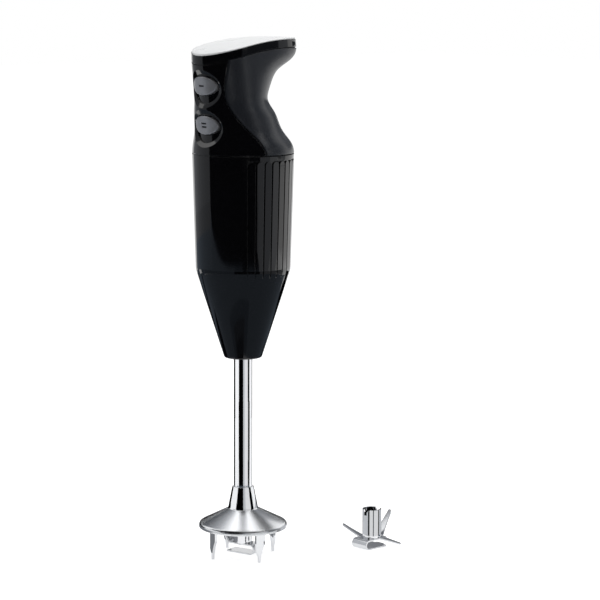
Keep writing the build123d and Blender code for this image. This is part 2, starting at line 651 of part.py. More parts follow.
def snap_switch(button_z):
    """Snap switch body with the hole for its plunger."""
    body = block((SWITCH_FRONT_X, SWITCH_BACK_X), (-SWITCH_HALF_WIDTH, SWITCH_HALF_WIDTH),
                 (button_z - SWITCH_HALF_HEIGHT, button_z + SWITCH_HALF_HEIGHT))
    hole_end = FLANGE_BACK_X + MOVE_GAP + PLUNGER_LENGTH + BUTTON_TRAVEL + MOVE_GAP
    return body - rod_along_x(PLUNGER_RADIUS + SLIDE_GAP, SWITCH_FRONT_X - 1, hole_end, 0, button_z)


def switch_plunger(button_z):
    """Plunger between the button and the contacts of its switch."""
    start = FLANGE_BACK_X + MOVE_GAP
    return rod_along_x(PLUNGER_RADIUS, start, start + PLUNGER_LENGTH, 0, button_z)


def switch_carrier():
    """Plate clamped between panel and handle; the switches sit on its front, the board behind it."""
    plate = block((SWITCH_BACK_X, CARRIER_BACK_X), (-CARRIER_HALF_WIDTH, CARRIER_HALF_WIDTH), CARRIER_Z)
    for z in (BOARD_Z[0] + 3, BOARD_Z[1] - 3):
        plate += rod_along_x(STANDOFF_RADIUS, CARRIER_BACK_X, CARRIER_BACK_X + BOARD_STANDOFF, 0, z)
    for side in (-1, 1):
        plate -= rod_along_x(SCREW_RADIUS + LOCATE_GAP, -20, 0, side * POST_Y, POST_Z)
    return plate


BOARD_X = (CARRIER_BACK_X + BOARD_STANDOFF, CARRIER_BACK_X + BOARD_STANDOFF + BOARD_THICK)


def circuit_board():
    """Small board with the suppression parts."""
    return block(BOARD_X, (-BOARD_HALF_WIDTH, BOARD_HALF_WIDTH), BOARD_Z)


def suppression_capacitor():
    """Box capacitor on the back of the board."""
    depth, width, height = CAPACITOR
    return block((BOARD_X[1], BOARD_X[1] + depth), (-width / 2, width / 2),
                 (CAPACITOR_Z - height / 2, CAPACITOR_Z + height / 2))


def speed_diode():
    """Diode on the back of the board, lying across it."""
    body = Rot(90, 0, 0) * Cylinder(DIODE_RADIUS, DIODE_LENGTH)
    return Pos(BOARD_X[1] + DIODE_RADIUS, 0, DIODE_Z) * body


def cord_gland():
    """Bush in the end of the hook, where a cord would enter."""
    bush = rod_along_x(GLAND_RADIUS, *GLAND_X, 0, GLAND_Z)
    return bush - rod_along_x(GLAND_BORE, 0, 60, 0, GLAND_Z)


def cord_clamp():
    """Bar that would hold the cord down on its saddle."""
    bar = block(CLAMP_X, (-CLAMP_HALF_WIDTH, CLAMP_HALF_WIDTH), (CLAMP_SEAT_Z, CLAMP_SEAT_Z + CLAMP_THICK))
    for side in (-1, 1):
        hole = rod(SCREW_RADIUS + LOCATE_GAP, CLAMP_SEAT_Z - 1, CLAMP_SEAT_Z + 5)
        bar -= Pos(sum(CLAMP_X) / 2, side * CLAMP_SCREW_Y, 0) * hole
    return bar


def screw(seat, length):
    """Upright pan-head screw: head above its seat, shank below it."""
    return rod(SCREW_HEAD_RADIUS, seat, seat + SCREW_HEAD_HEIGHT) + rod(SCREW_RADIUS, seat - length, seat)


def clamp_screws():
    """Two screws of the cord clamp."""
    one = screw(CLAMP_SEAT_Z + CLAMP_THICK, CLAMP_THICK + CLAMP_SCREW_LENGTH - 1)
    return Part() + [Pos(sum(CLAMP_X) / 2, side * CLAMP_SCREW_Y, 0) * one for side in (-1, 1)]


def panel_screws():
    """Two screws that draw panel, carrier and handle together from behind."""
    level = Rot(0, 90, 0) * screw(0, PANEL_SCREW_SEAT_X - PANEL_SCREW_END_X)
    return Part() + [Pos(PANEL_SCREW_SEAT_X, side * POST_Y, POST_Z) * level for side in (-1, 1)]


def handle_screws():
    """Two screws that hold the handle flange down on the motor bridge."""
    one = screw(PARTING_Z + SEAM_WIDTH + FLANGE_THICK, HANDLE_SCREW_LENGTH)
    return Part() + [Rot(0, 0, azimuth) * Pos(HANDLE_SCREW_RADIUS, 0, 0) * one
                     for azimuth in HANDLE_SCREW_AZIMUTHS]


SPOKE_Z = (BRIDGE_SEAT + 0.4, BRIDGE_SEAT + 0.4 + SPOKE_HEIGHT)


def motor_bridge():
    """Upper bearing bridge: ring on the housing ledge, two spokes and a bearing cup."""
    bridge = ring(RIM_BORE - LOCATE_GAP, BRIDGE_BORE, BRIDGE_SEAT, BRIDGE_TOP)
    bridge += block((-SPOKE_WIDTH / 2, SPOKE_WIDTH / 2), (-BRIDGE_BORE - 1, BRIDGE_BORE + 1), SPOKE_Z)
    seat = UPPER_BEARING.outside + SEAT_GAP
    top = UPPER_BEARING.bottom + UPPER_BEARING.height
    bridge += rod(seat + 2.4, SPOKE_Z[0], top)
    bridge -= rod(seat, UPPER_BEARING.bottom, top + 1) + rod(UPPER_BEARING.outer_inside, BRIDGE_SEAT, top)
    for azimuth in (90, 270):
        hole = rod(SCREW_RADIUS + LOCATE_GAP, *SPOKE_Z)
        bridge -= Rot(0, 0, azimuth) * Pos(MOTOR_SCREW_RADIUS, 0, 0) * hole
    for azimuth in HANDLE_SCREW_AZIMUTHS:
        hole = rod(SCREW_RADIUS + SEAT_GAP, BRIDGE_SEAT + 1, BRIDGE_TOP)
        bridge -= Rot(0, 0, azimuth) * Pos(HANDLE_SCREW_RADIUS, 0, 0) * hole
    return bridge


def lower_bracket():
    """Lower bearing bracket: cup, plate on the housing ledge and a windowed skirt under the stator."""
    slope = (BREAK_RADIUS - NOSE_RADIUS) / (BREAK_Z - NOSE_Z)
    plate_radius = NOSE_RADIUS + slope * (BRACKET_SEAT - NOSE_Z) - CONE_WALL - LOCATE_GAP
    plate_top = BRACKET_SEAT + BRACKET_PLATE
    seat = LOWER_BEARING.outside + SEAT_GAP
    bracket = rod(plate_radius, BRACKET_SEAT, plate_top)
    bracket += ring(SKIRT_RADII[1], SKIRT_RADII[0], plate_top - 0.8, STACK_Z[0])
    bracket += rod(seat + 2.0, LOWER_BEARING.bottom - 1.2, BRACKET_SEAT)
    bracket -= rod(seat, LOWER_BEARING.bottom, plate_top + 1)
    bracket -= rod(LOWER_BEARING.outer_inside, 160, plate_top)
    window = (SKIRT_RADII[0] - 1, SKIRT_RADII[1] + 1, plate_top + 2.5, STACK_Z[0] - 3)
    for azimuth in (45, 135, 225, 315):
        bracket -= sector(*window, azimuth, 50)
    for azimuth in (90, 270):
        hole = rod(SCREW_RADIUS + SEAT_GAP, BRACKET_SEAT - 1, plate_top + 1)
        bracket -= Rot(0, 0, azimuth) * Pos(MOTOR_SCREW_RADIUS, 0, 0) * hole
    return bracket


def motor_screws():
    """Two long screws from the bridge to the lower bracket, between the coils."""
    one = screw(SPOKE_Z[1], SPOKE_Z[1] - BRACKET_SEAT - 0.4)
    return Part() + [Rot(0, 0, azimuth) * Pos(MOTOR_SCREW_RADIUS, 0, 0) * one for azimuth in (90, 270)]


def stator_core():
    """Laminated yoke with two poles."""
    core = ring(CAVITY_RADIUS - LOCATE_GAP, YOKE_BORE, *STACK_Z)
    for azimuth in (0, 180):
        core += sector(POLE_BORE, POLE_TIP, *STACK_Z, azimuth, POLE_TIP_SPAN)
        core += sector(POLE_TIP - 0.2, YOKE_BORE + 0.5, *STACK_Z, azimuth, POLE_NECK_SPAN)
    return core


def field_coil(azimuth):
    """Saddle coil round one pole."""
    coil = sector(*COIL_RADII, STACK_Z[0] - COIL_OVERHANG, STACK_Z[1] + COIL_OVERHANG, azimuth, COIL_SPAN)
    window = sector(COIL_RADII[0] - 1, COIL_RADII[1] + 1, STACK_Z[0] - COIL_GAP, STACK_Z[1] + COIL_GAP,
                    azimuth, POLE_NECK_SPAN + 2)
    return coil - window


def motor_shaft():
    """Armature shaft from the coupling to the upper bearing."""
    return rod(MOTOR_SHAFT_RADIUS, SPINDLE_TOP + LOCATE_GAP, MOTOR_SHAFT_TOP)


def armature_core():
    """Slotted armature stack."""
    core = ring(ARMATURE_RADIUS, MOTOR_SHAFT_RADIUS + SEAT_GAP, *STACK_Z)
    slot = block((ARMATURE_RADIUS - SLOT_DEPTH, ARMATURE_RADIUS + 1), (-SLOT_WIDTH / 2, SLOT_WIDTH / 2),
                 (STACK_Z[0] - 1, STACK_Z[1] + 1))
    return core - [Rot(0, 0, 360 * i / ARMATURE_SLOTS) * slot for i in range(ARMATURE_SLOTS)]


def armature_windings():
    """Copper in the slots and the rounded end bundles."""
    inner = MOTOR_SHAFT_RADIUS + 1.0
    low, high = STACK_Z
    upper = turned([(inner, high), (WINDING_RADIUS, high), (WINDING_RADIUS, high + WINDING_HEIGHT),
                    (inner, high + WINDING_HEIGHT)], (0, 0, 3.0, 2.0))
    lower = turned([(inner, low), (inner, low - WINDING_HEIGHT), (WINDING_RADIUS, low - WINDING_HEIGHT),
                    (WINDING_RADIUS, low)], (0, 2.0, 3.0, 0))
    fill = SLOT_WIDTH / 2 - SLIDE_GAP
    bar = block((ARMATURE_RADIUS - SLOT_DEPTH + SLIDE_GAP, WINDING_RADIUS), (-fill, fill),
                (low - 1, high + 1))
    return upper + lower + [Rot(0, 0, 360 * i / ARMATURE_SLOTS) * bar for i in range(ARMATURE_SLOTS)]


def commutator():
    """Grooved commutator."""
    drum = ring(COMMUTATOR_RADIUS, MOTOR_SHAFT_RADIUS + SEAT_GAP, *COMMUTATOR_Z)
    half = COMMUTATOR_GROOVE / 2
    groove = block((COMMUTATOR_RADIUS - 1, COMMUTATOR_RADIUS + 1), (-half, half), COMMUTATOR_Z)
    return drum - [Rot(0, 0, 360 * (i + 0.5) / ARMATURE_SLOTS) * groove for i in range(ARMATURE_SLOTS)]


def fan():
    """Cooling fan under the armature."""
    wheel = rod(FAN_RADIUS, FAN_Z[0], FAN_Z[0] + FAN_PLATE) + rod(FAN_HUB, *FAN_Z)
    blade = block((FAN_HUB - 0.5, FAN_RADIUS - 0.2), (-0.6, 0.6), FAN_Z)
    wheel += [Rot(0, 0, 360 * i / FAN_BLADES) * blade for i in range(FAN_BLADES)]
    return wheel - rod(MOTOR_SHAFT_RADIUS + SEAT_GAP, FAN_Z[0] - 1, FAN_Z[1] + 1)


def coupling():
    """Sleeve that joins motor shaft and spindle."""
    sleeve = rod(COUPLING_RADIUS, *COUPLING_Z)
    sleeve -= rod(SPINDLE_RADIUS + SEAT_GAP, COUPLING_Z[0] - 1, SPINDLE_TOP + LOCATE_GAP)
    return sleeve - rod(MOTOR_SHAFT_RADIUS + SEAT_GAP, SPINDLE_TOP + LOCATE_GAP, COUPLING_Z[1] + 1)


def bearing_rings(bearing):
    """Outer ring, inner ring and balls of one bearing."""
    low, high = bearing.bottom, bearing.bottom + bearing.height
    outer = ring(bearing.outside, bearing.outer_inside, low, high)
    inner = ring(bearing.inner_outside, MOTOR_SHAFT_RADIUS + SEAT_GAP, low, high)
    ball = Sphere((bearing.outer_inside - bearing.inner_outside) / 2 - SLIDE_GAP)
    middle = (bearing.outer_inside + bearing.inner_outside) / 2
    balls = Part() + [Rot(0, 0, 360 * i / bearing.ball_count) * Pos(middle, 0, (low + high) / 2) * ball
                      for i in range(bearing.ball_count)]
    return outer, inner, balls


HOLDER_HALF_WIDTH = BRUSH_WIDTH / 2 + SLIDE_GAP + HOLDER_WALL
HOLDER_HALF_HEIGHT = BRUSH_HEIGHT / 2 + SLIDE_GAP + HOLDER_WALL
BRUSH_BACK_X = COMMUTATOR_RADIUS + BRUSH_LENGTH


def brush_frame():
    """Insulating ring between stator and bridge, with a window for each brush holder."""
    frame = ring(FRAME_RADII[1], FRAME_RADII[0], STACK_Z[1], BRIDGE_SEAT)
    half_width = HOLDER_HALF_WIDTH + SEAT_GAP
    half_height = HOLDER_HALF_HEIGHT + SEAT_GAP
    return frame - block((-40, 40), (-half_width, half_width),
                         (BRUSH_Z - half_height, BRUSH_Z + half_height))


def brush_holder():
    """Brass box that guides the brush on the +X side, closed at its outer end."""
    outside = block(HOLDER_X, (-HOLDER_HALF_WIDTH, HOLDER_HALF_WIDTH),
                    (BRUSH_Z - HOLDER_HALF_HEIGHT, BRUSH_Z + HOLDER_HALF_HEIGHT))
    half_width = HOLDER_HALF_WIDTH - HOLDER_WALL
    half_height = HOLDER_HALF_HEIGHT - HOLDER_WALL
    return outside - block((0, HOLDER_X[1] - HOLDER_WALL), (-half_width, half_width),
                           (BRUSH_Z - half_height, BRUSH_Z + half_height))


def carbon_brush():
    """Carbon brush on the +X side, its end worn to the commutator."""
    carbon = block((0, BRUSH_BACK_X), (-BRUSH_WIDTH / 2, BRUSH_WIDTH / 2),
                   (BRUSH_Z - BRUSH_HEIGHT / 2, BRUSH_Z + BRUSH_HEIGHT / 2))
    return (carbon - rod(COMMUTATOR_RADIUS + SLIDE_GAP, BRUSH_Z - 10, BRUSH_Z + 10)) & block(
        (4, 40), (-10, 10), (BRUSH_Z - 10, BRUSH_Z + 10))


def brush_spring():
    """Coil spring between the brush and the end of its holder, on the +X side."""
    start = BRUSH_BACK_X + BRUSH_SPRING_WIRE + SLIDE_GAP
    length = HOLDER_X[1] - HOLDER_WALL - BRUSH_SPRING_WIRE - SLIDE_GAP - start
    path = Helix(length / BRUSH_SPRING_TURNS, length, BRUSH_SPRING_RADIUS)
    section = Plane(path @ 0, z_dir=path % 0) * Circle(BRUSH_SPRING_WIRE)
    return Pos(start, 0, BRUSH_Z) * Rot(0, 90, 0) * sweep(section, path=path, is_frenet=True)


def tube_ring(z0, z1):
    """Ring between spindle and tube."""
    return ring(TUBE_RADIUS - TUBE_WALL - SEAT_GAP, SPINDLE_RADIUS + RUN_GAP, z0, z1)


DRIVE = Rot(0, 0, FITTED_AZIMUTH)
FITTED = Pos(0, 0, FITTED_Z) * DRIVE
SPARE = Pos(SPARE_X, SPARE_Y, 0) * Rot(0, 0, SPARE_AZIMUTH)
OPPOSITE = Rot(0, 0, 180)
PIN_Z = FITTED_Z + HUB_TOP - PIN_BELOW_HUB_TOP

parts["motor_housing"] = motor_housing()
parts["switch_panel"] = switch_panel()
parts["handle_shell"] = handle_shell()
parts["top_cap"] = top_cap()
parts["top_inlay"] = top_inlay()
parts["low_speed_button"] = speed_button(BUTTON_Z[1], 1)
parts["high_speed_button"] = speed_button(BUTTON_Z[0], 2)
parts["low_speed_switch"] = snap_switch(BUTTON_Z[1])
parts["high_speed_switch"] = snap_switch(BUTTON_Z[0])
parts["low_speed_plunger"] = switch_plunger(BUTTON_Z[1])
parts["high_speed_plunger"] = switch_plunger(BUTTON_Z[0])
parts["switch_carrier"] = switch_carrier()
parts["circuit_board"] = circuit_board()
parts["suppression_capacitor"] = suppression_capacitor()
parts["speed_diode"] = speed_diode()
parts["cord_gland"] = cord_gland()
parts["cord_clamp"] = cord_clamp()
parts["clamp_screws"] = clamp_screws()
parts["panel_screws"] = panel_screws()
parts["handle_screws"] = handle_screws()
parts["motor_bridge"] = motor_bridge()
parts["lower_bracket"] = lower_bracket()
parts["motor_screws"] = motor_screws()
parts["stator_core"] = stator_core()
parts["field_coil_rear"] = field_coil(0)
parts["field_coil_front"] = field_coil(180)
parts["brush_frame"] = brush_frame()
for side, turn in (("rear", Rot(0, 0, 0)), ("front", OPPOSITE)):
    parts[f"brush_holder_{side}"] = turn * brush_holder()
    parts[f"carbon_brush_{side}"] = turn * carbon_brush()
    parts[f"brush_spring_{side}"] = turn * brush_spring()
for level, bearing in (("upper", UPPER_BEARING), ("lower", LOWER_BEARING)):
    outer, inner, balls = bearing_rings(bearing)
    parts[f"{level}_bearing_outer"] = outer
    parts[f"{level}_bearing_inner"] = inner
    parts[f"{level}_bearing_balls"] = balls
parts["motor_shaft"] = motor_shaft()
parts["armature_core"] = armature_core()
parts["armature_windings"] = armature_windings()
parts["commutator"] = commutator()
parts["fan"] = fan()
parts["coupling"] = coupling()
parts["drive_spindle"] = DRIVE * drive_spindle()
parts["drive_pin"] = DRIVE * rod_along_x(PIN_RADIUS, 0.2 - HUB_RADIUS, HUB_RADIUS - 0.2, 0, PIN_Z)
parts["tool_clip"] = DRIVE * tool_clip()
parts["shaft_tube"] = ring(TUBE_RADIUS, TUBE_RADIUS - TUBE_WALL, TUBE_BOTTOM, TUBE_TOP)
ON_TUBE = TUBE_RADIUS + SEAT_GAP
parts["tube_lock_ring"] = ring(SLEEVE_RADIUS, ON_TUBE, SLEEVE_TOP, SLEEVE_TOP + LOCK_RING_HEIGHT)
parts["nose_seal"] = ring(NOSE_SEAL_RADIUS, ON_TUBE, NOSE_Z, NOSE_Z + NOSE_SEAL_HEIGHT)
parts["upper_bush"] = tube_ring(UPPER_BUSH_Z, UPPER_BUSH_Z + BUSH_LENGTH)
parts["lower_bush"] = tube_ring(LOWER_BUSH_Z, LOWER_BUSH_Z + BUSH_LENGTH)
parts["shaft_seal"] = tube_ring(TUBE_BOTTOM, TUBE_BOTTOM + SEAL_HEIGHT)
parts["guard"] = guard()
parts["blade_hub"] = FITTED * blade_hub()
parts["whipping_blade"] = FITTED * whipping_blade()
parts["spare_hub"] = SPARE * blade_hub()
parts["cutting_blade"] = SPARE * cutting_blade()

os.makedirs("parts", exist_ok=True)
for name, solid in parts.items():
    export_step(solid, f"parts/{name}.step")
    print(name, len(solid.solids()), round(solid.volume), solid.is_valid)
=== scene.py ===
import json
import logging
import math
from dataclasses import dataclass, field, replace
from enum import Enum

import bmesh
import bpy
from mathutils import Matrix, Vector
from mathutils.bvhtree import BVHTree


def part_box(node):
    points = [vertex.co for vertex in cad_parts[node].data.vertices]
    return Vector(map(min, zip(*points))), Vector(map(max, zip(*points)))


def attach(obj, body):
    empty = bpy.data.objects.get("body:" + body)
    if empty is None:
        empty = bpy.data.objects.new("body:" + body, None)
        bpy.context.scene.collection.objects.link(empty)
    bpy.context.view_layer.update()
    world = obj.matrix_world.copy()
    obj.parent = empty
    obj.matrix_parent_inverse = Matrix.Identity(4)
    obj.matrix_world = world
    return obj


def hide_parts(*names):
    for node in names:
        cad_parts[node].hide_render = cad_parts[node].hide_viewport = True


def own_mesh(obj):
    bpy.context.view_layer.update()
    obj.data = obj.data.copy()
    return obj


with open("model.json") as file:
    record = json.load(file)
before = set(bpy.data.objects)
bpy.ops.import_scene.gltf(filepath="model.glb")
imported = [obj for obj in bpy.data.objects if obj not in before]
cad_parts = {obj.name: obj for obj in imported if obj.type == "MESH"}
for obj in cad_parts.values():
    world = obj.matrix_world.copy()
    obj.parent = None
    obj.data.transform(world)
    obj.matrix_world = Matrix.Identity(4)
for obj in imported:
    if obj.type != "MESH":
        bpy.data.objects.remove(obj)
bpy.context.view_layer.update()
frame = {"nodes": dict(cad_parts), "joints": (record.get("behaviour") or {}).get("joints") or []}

Tree = bpy.types.NodeTree
Socket = bpy.types.NodeSocket
Mesh = bpy.types.Mesh
Pair = tuple[float, float]

LOG = logging.getLogger("immersion_blender")
MM = 0.001
# The shaft's axis, which the blender's turned pieces share.
SHAFT_AXIS = (0.0, 0.0)

# A wave texture turns through 20 radians in one unit, so this scale makes it one full band.
ONE_BAND_PER_UNIT = 2 * math.pi / 20
# Ground scratches run along X, many times longer than wide.
SCRATCH_STRETCH = (0.08, 1.0, 1.0)
# Fine relief is drawn at part of its depth, so that it doesn't sparkle at the photograph's size.
BUMP_STRENGTH = 0.6
# Rays that round off an edge in the shading.
EDGE_RAYS = 4
# A patch of haze and the pattern's height, added together, lie mostly between these.
HAZE_SUM = (0.6, 1.4)
# No surface gets smoother than this roughness.
SMOOTHEST = 0.02
# Sockets of a mix node: its two values and their mix, as numbers and as colours.
NUMBER_A, NUMBER_B, NUMBER_MIX = 2, 3, 0
COLOUR_A, COLOUR_B, COLOUR_MIX = 6, 7, 2


def linear(hex_colour: str) -> tuple[float, float, float, float]:
    """Turns an sRGB hex colour into linear RGBA.

    Args:
        hex_colour: Colour such as "#1A1B1D".

    Returns:
        Linear red, green, blue and an alpha of 1.
    """
    parts = [int(hex_colour[i:i + 2], 16) / 255 for i in (1, 3, 5)]
    light = [part / 12.92 if part <= 0.04045 else ((part + 0.055) / 1.055) ** 2.4 for part in parts]
    return light[0], light[1], light[2], 1.0


def add(tree: Tree, kind: str, inputs: dict | None = None, **settings: object) -> bpy.types.Node:
    """Adds a node with its settings, and fills or links its inputs.

    Args:
        tree: Node tree that gets the node.
        kind: Blender's name of the node type.
        inputs: Input name or number to a value, or to an output socket that is linked to it.
        settings: Properties of the node.

    Returns:
        The new node.
    """
    node = tree.nodes.new(kind)
    for name, value in settings.items():
        setattr(node, name, value)
    for key, value in (inputs or {}).items():
        if isinstance(value, Socket):
            tree.links.new(value, node.inputs[key])
        else:
            node.inputs[key].default_value = value
    return node


def middle(node: str) -> Vector:
    """Gives the middle of a CAD node's box, in metres."""
    low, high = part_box(node)
    return (low + high) / 2


# The upright axis of the loose blade, which stands beside the blender.
LOOSE_AXIS = tuple(middle("spare_hub").xy)


class Pattern(Enum):
    """How the fine relief of a finish is laid out."""

    PEEL = "even grain of a mould"
    TURNED = "rings about an upright axis"
    GROUND = "long straight scratches"
    WOUND = "strands of wire side by side"
    STACKED = "level sheets on each other"
    WOVEN = "plain weave of glass"
    GRAINY = "pressed powder"


@dataclass(frozen=True)
class Finish:
    """A real material and how its surface was made.

    The pattern repeats at spacing_mm, and its relief is relief_mm high. Patches of haze_mm stray from the
    roughness by spread, as handling and polishing leave them. Edges are shaded as if rounded by edge_mm.
    Turned rings lie round the axis, which is in metres. Brushed is how far a turned metal draws out a light.
    """

    name: str
    colour: str
    shade: str
    pattern: Pattern
    spacing_mm: float
    relief_mm: float
    roughness: float
    spread: float
    metallic: float = 0.0
    ior: float = 1.5
    coat: float = 0.0
    haze_mm: float = 14.0
    edge_mm: float = 0.0
    brushed: float = 0.0
    axis: Pair = SHAFT_AXIS

    def place(self, tree: Tree) -> Socket:
        """Gives the position on the object in steps of the pattern's spacing.

        Args:
            tree: Node tree of the material.

        Returns:
            Vector socket; one unit is one spacing.
        """
        spot = add(tree, "ShaderNodeTexCoord").outputs["Object"]
        if self.pattern is Pattern.TURNED:
            shift = (-self.axis[0], -self.axis[1], 0.0)
            moved = add(tree, "ShaderNodeVectorMath", {0: spot, 1: shift}, operation="ADD").outputs[0]
            split = add(tree, "ShaderNodeSeparateXYZ", {0: moved}).outputs
            flat = add(tree, "ShaderNodeCombineXYZ", {0: split[0], 1: split[1]}).outputs[0]
            reach = add(tree, "ShaderNodeVectorMath", {0: flat}, operation="LENGTH").outputs["Value"]
            spot = add(tree, "ShaderNodeCombineXYZ", {0: reach, 2: split[2]}).outputs[0]
        stretch = SCRATCH_STRETCH if self.pattern is Pattern.GROUND else (1.0, 1.0, 1.0)
        scale = [part / (self.spacing_mm * MM) for part in stretch]
        return add(tree, "ShaderNodeMapping", {"Vector": spot, "Scale": scale}).outputs[0]

    def height(self, tree: Tree, spot: Socket) -> Socket:
        """Draws the pattern as a height from 0 to 1.

        Args:
            tree: Node tree of the material.
            spot: Position from place().

        Returns:
            Value socket with the height.
        """
        if self.pattern in (Pattern.WOUND, Pattern.STACKED):
            bands = {"Vector": spot, "Scale": ONE_BAND_PER_UNIT, "Distortion": 0.4, "Detail": 1.0}
            wave = add(tree, "ShaderNodeTexWave", bands, bands_direction="Z", wave_profile="SIN")
            return wave.outputs["Fac"]
        if self.pattern is Pattern.WOVEN:
            weave = {"Vector": spot, "Scale": 1.0, "Mortar Size": 0.08, "Brick Width": 1.0, "Row Height": 0.5}
            return add(tree, "ShaderNodeTexBrick", weave).outputs["Fac"]
        if self.pattern is Pattern.GRAINY:
            return add(tree, "ShaderNodeTexVoronoi", {"Vector": spot, "Scale": 1.0}).outputs["Distance"]
        grain = {"Vector": spot, "Scale": 1.0, "Detail": 3.0, "Roughness": 0.55}
        return add(tree, "ShaderNodeTexNoise", grain).outputs["Fac"]

    def tint(self, tree: Tree, height: Socket) -> Socket:
        """Mixes the two colours of the finish by its pattern.

        Args:
            tree: Node tree of the material.
            height: Height from height().

        Returns:
            Colour socket.
        """
        colours = {"Factor": height, COLOUR_A: linear(self.shade), COLOUR_B: linear(self.colour)}
        return add(tree, "ShaderNodeMix", colours, data_type="RGBA").outputs[COLOUR_MIX]

    def gloss(self, tree: Tree, height: Socket) -> Socket:
        """Works out the roughness from handling patches and the fine pattern.

        Args:
            tree: Node tree of the material.
            height: Height from height().

        Returns:
            Value socket with the roughness.
        """
        spot = add(tree, "ShaderNodeTexCoord").outputs["Object"]
        patches = {"Vector": spot, "Scale": 1 / (self.haze_mm * MM), "Detail": 4.0}
        haze = add(tree, "ShaderNodeTexNoise", patches).outputs["Fac"]
        both = add(tree, "ShaderNodeMath", {0: haze, 1: height}, operation="ADD").outputs[0]
        span = {
            "Value": both,
            "From Min": HAZE_SUM[0],
            "From Max": HAZE_SUM[1],
            "To Min": max(self.roughness - self.spread, SMOOTHEST),
            "To Max": self.roughness + self.spread,
        }
        return add(tree, "ShaderNodeMapRange", span).outputs[0]

    def material(self) -> bpy.types.Material:
        """Makes the material, or finds it where it has been made.

        Returns:
            The material of this finish.
        """
        made = bpy.data.materials.get(self.name)
        if made:
            return made
        made = bpy.data.materials.new(self.name)
        made.use_nodes = True
        tree = made.node_tree
        shader = tree.nodes["Principled BSDF"]
        height = self.height(tree, self.place(tree))
        relief = {"Height": height, "Strength": BUMP_STRENGTH, "Distance": self.relief_mm * MM}
        bump = add(tree, "ShaderNodeBump", relief)
        if self.edge_mm:
            edge = add(tree, "ShaderNodeBevel", {"Radius": self.edge_mm * MM}, samples=EDGE_RAYS)
            tree.links.new(edge.outputs[0], bump.inputs["Normal"])
        tree.links.new(self.tint(tree, height), shader.inputs["Base Color"])
        tree.links.new(self.gloss(tree, height), shader.inputs["Roughness"])
        tree.links.new(bump.outputs[0], shader.inputs["Normal"])
        shader.inputs["Metallic"].default_value = self.metallic
        shader.inputs["IOR"].default_value = self.ior
        shader.inputs["Coat Weight"].default_value = self.coat
        if self.brushed:
            shader.inputs["Anisotropic"].default_value = self.brushed
            around = add(tree, "ShaderNodeTangent", direction_type="RADIAL", axis="Z")
            tree.links.new(around.outputs[0], shader.inputs["Tangent"])
        made.diffuse_color = linear(self.colour)
        return made


@dataclass(frozen=True)
class SpunSteel(Finish):
    """Stainless steel whose bell is satin and whose neck and prongs are polished.

    The satin lies between two heights in millimetres, and the turning rings roughen it by up to satin_spread.
    """

    satin: float = 0.20
    satin_spread: float = 0.08
    satin_low_mm: float = 18.5
    satin_high_mm: float = 32.0

    def gloss(self, tree: Tree, height: Socket) -> Socket:
        """Works out the roughness: satin between the two heights, polished beyond them.

        Args:
            tree: Node tree of the material.
            height: Height from height().

        Returns:
            Value socket with the roughness.
        """
        polished = super().gloss(tree, height)
        spot = add(tree, "ShaderNodeTexCoord").outputs["Object"]
        level = add(tree, "ShaderNodeSeparateXYZ", {0: spot}).outputs[2]
        low, high = self.satin_low_mm * MM, self.satin_high_mm * MM
        above = add(tree, "ShaderNodeMath", {0: level, 1: low}, operation="GREATER_THAN").outputs[0]
        below = add(tree, "ShaderNodeMath", {0: level, 1: high}, operation="LESS_THAN").outputs[0]
        bell = add(tree, "ShaderNodeMath", {0: above, 1: below}, operation="MULTIPLY").outputs[0]
        rings = {0: height, 1: self.satin_spread, 2: self.satin}
        brushed = add(tree, "ShaderNodeMath", rings, operation="MULTIPLY_ADD").outputs[0]
        choice = {"Factor": bell, NUMBER_A: polished, NUMBER_B: brushed}
        return add(tree, "ShaderNodeMix", choice).outputs[NUMBER_MIX]


# Real grain, flakes, scratches and turning rings are mostly finer than 0.2 mm. They are drawn coarser, at 0.2
# to 0.9 mm, so that they show in the render. Orange peel, wire, sheets and weave have their real size.

# ABS moulded against a polished tool: deep black, sharp reflections with a trace of orange peel.
BLACK_ABS = Finish(
    "moulded_black_abs", "#08080A", "#060608", Pattern.PEEL, spacing_mm=1.6, relief_mm=0.003,
    roughness=0.06, spread=0.02, ior=1.54, edge_mm=0.2,
)
# The same polished ABS on the panel, whose edges were rounded a little more in the tool.
PANEL_ABS = replace(BLACK_ABS, name="moulded_black_abs_panel", edge_mm=0.3)
# ABS moulded against a vapour-blasted tool: black with a soft sheen that spreads every light.
SATIN_ABS = Finish(
    "vapour_blasted_black_abs", "#1F2228", "#1B1E24", Pattern.PEEL, spacing_mm=0.9, relief_mm=0.004,
    roughness=0.30, spread=0.03, ior=1.54, edge_mm=1.2,
)
# ABS moulded against a spark-eroded tool: pale, with a soft even sheen.
PALE_ABS = Finish(
    "spark_eroded_pale_abs", "#ECEDEE", "#E4E6E7", Pattern.PEEL, spacing_mm=0.5, relief_mm=0.012,
    roughness=0.30, spread=0.05, ior=1.54, edge_mm=0.3,
)
# ABS sprayed with silver-grey lacquer: fine flakes that brighten where they face a light.
SILVER_LACQUER = Finish(
    "metallic_lacquered_abs", "#A4A5A9", "#97989C", Pattern.GRAINY, spacing_mm=0.25, relief_mm=0.004,
    roughness=0.34, spread=0.05, metallic=0.75, edge_mm=0.3,
)
# Flat black fill in the engraved bars, darker than the button.
DARK_BAR_FILL = Finish(
    "flat_black_bar_fill", "#141416", "#0F0F11", Pattern.GRAINY, spacing_mm=0.3, relief_mm=0.008,
    roughness=0.5, spread=0.08,
)
# Drawn stainless tube, mirror polished: faint rings from the buffing wheel.
POLISHED_TUBE = Finish(
    "buffed_stainless_tube", "#D7D8DA", "#CFD0D3", Pattern.TURNED, spacing_mm=0.35, relief_mm=0.0012,
    roughness=0.05, spread=0.02, metallic=1.0, edge_mm=0.2,
)
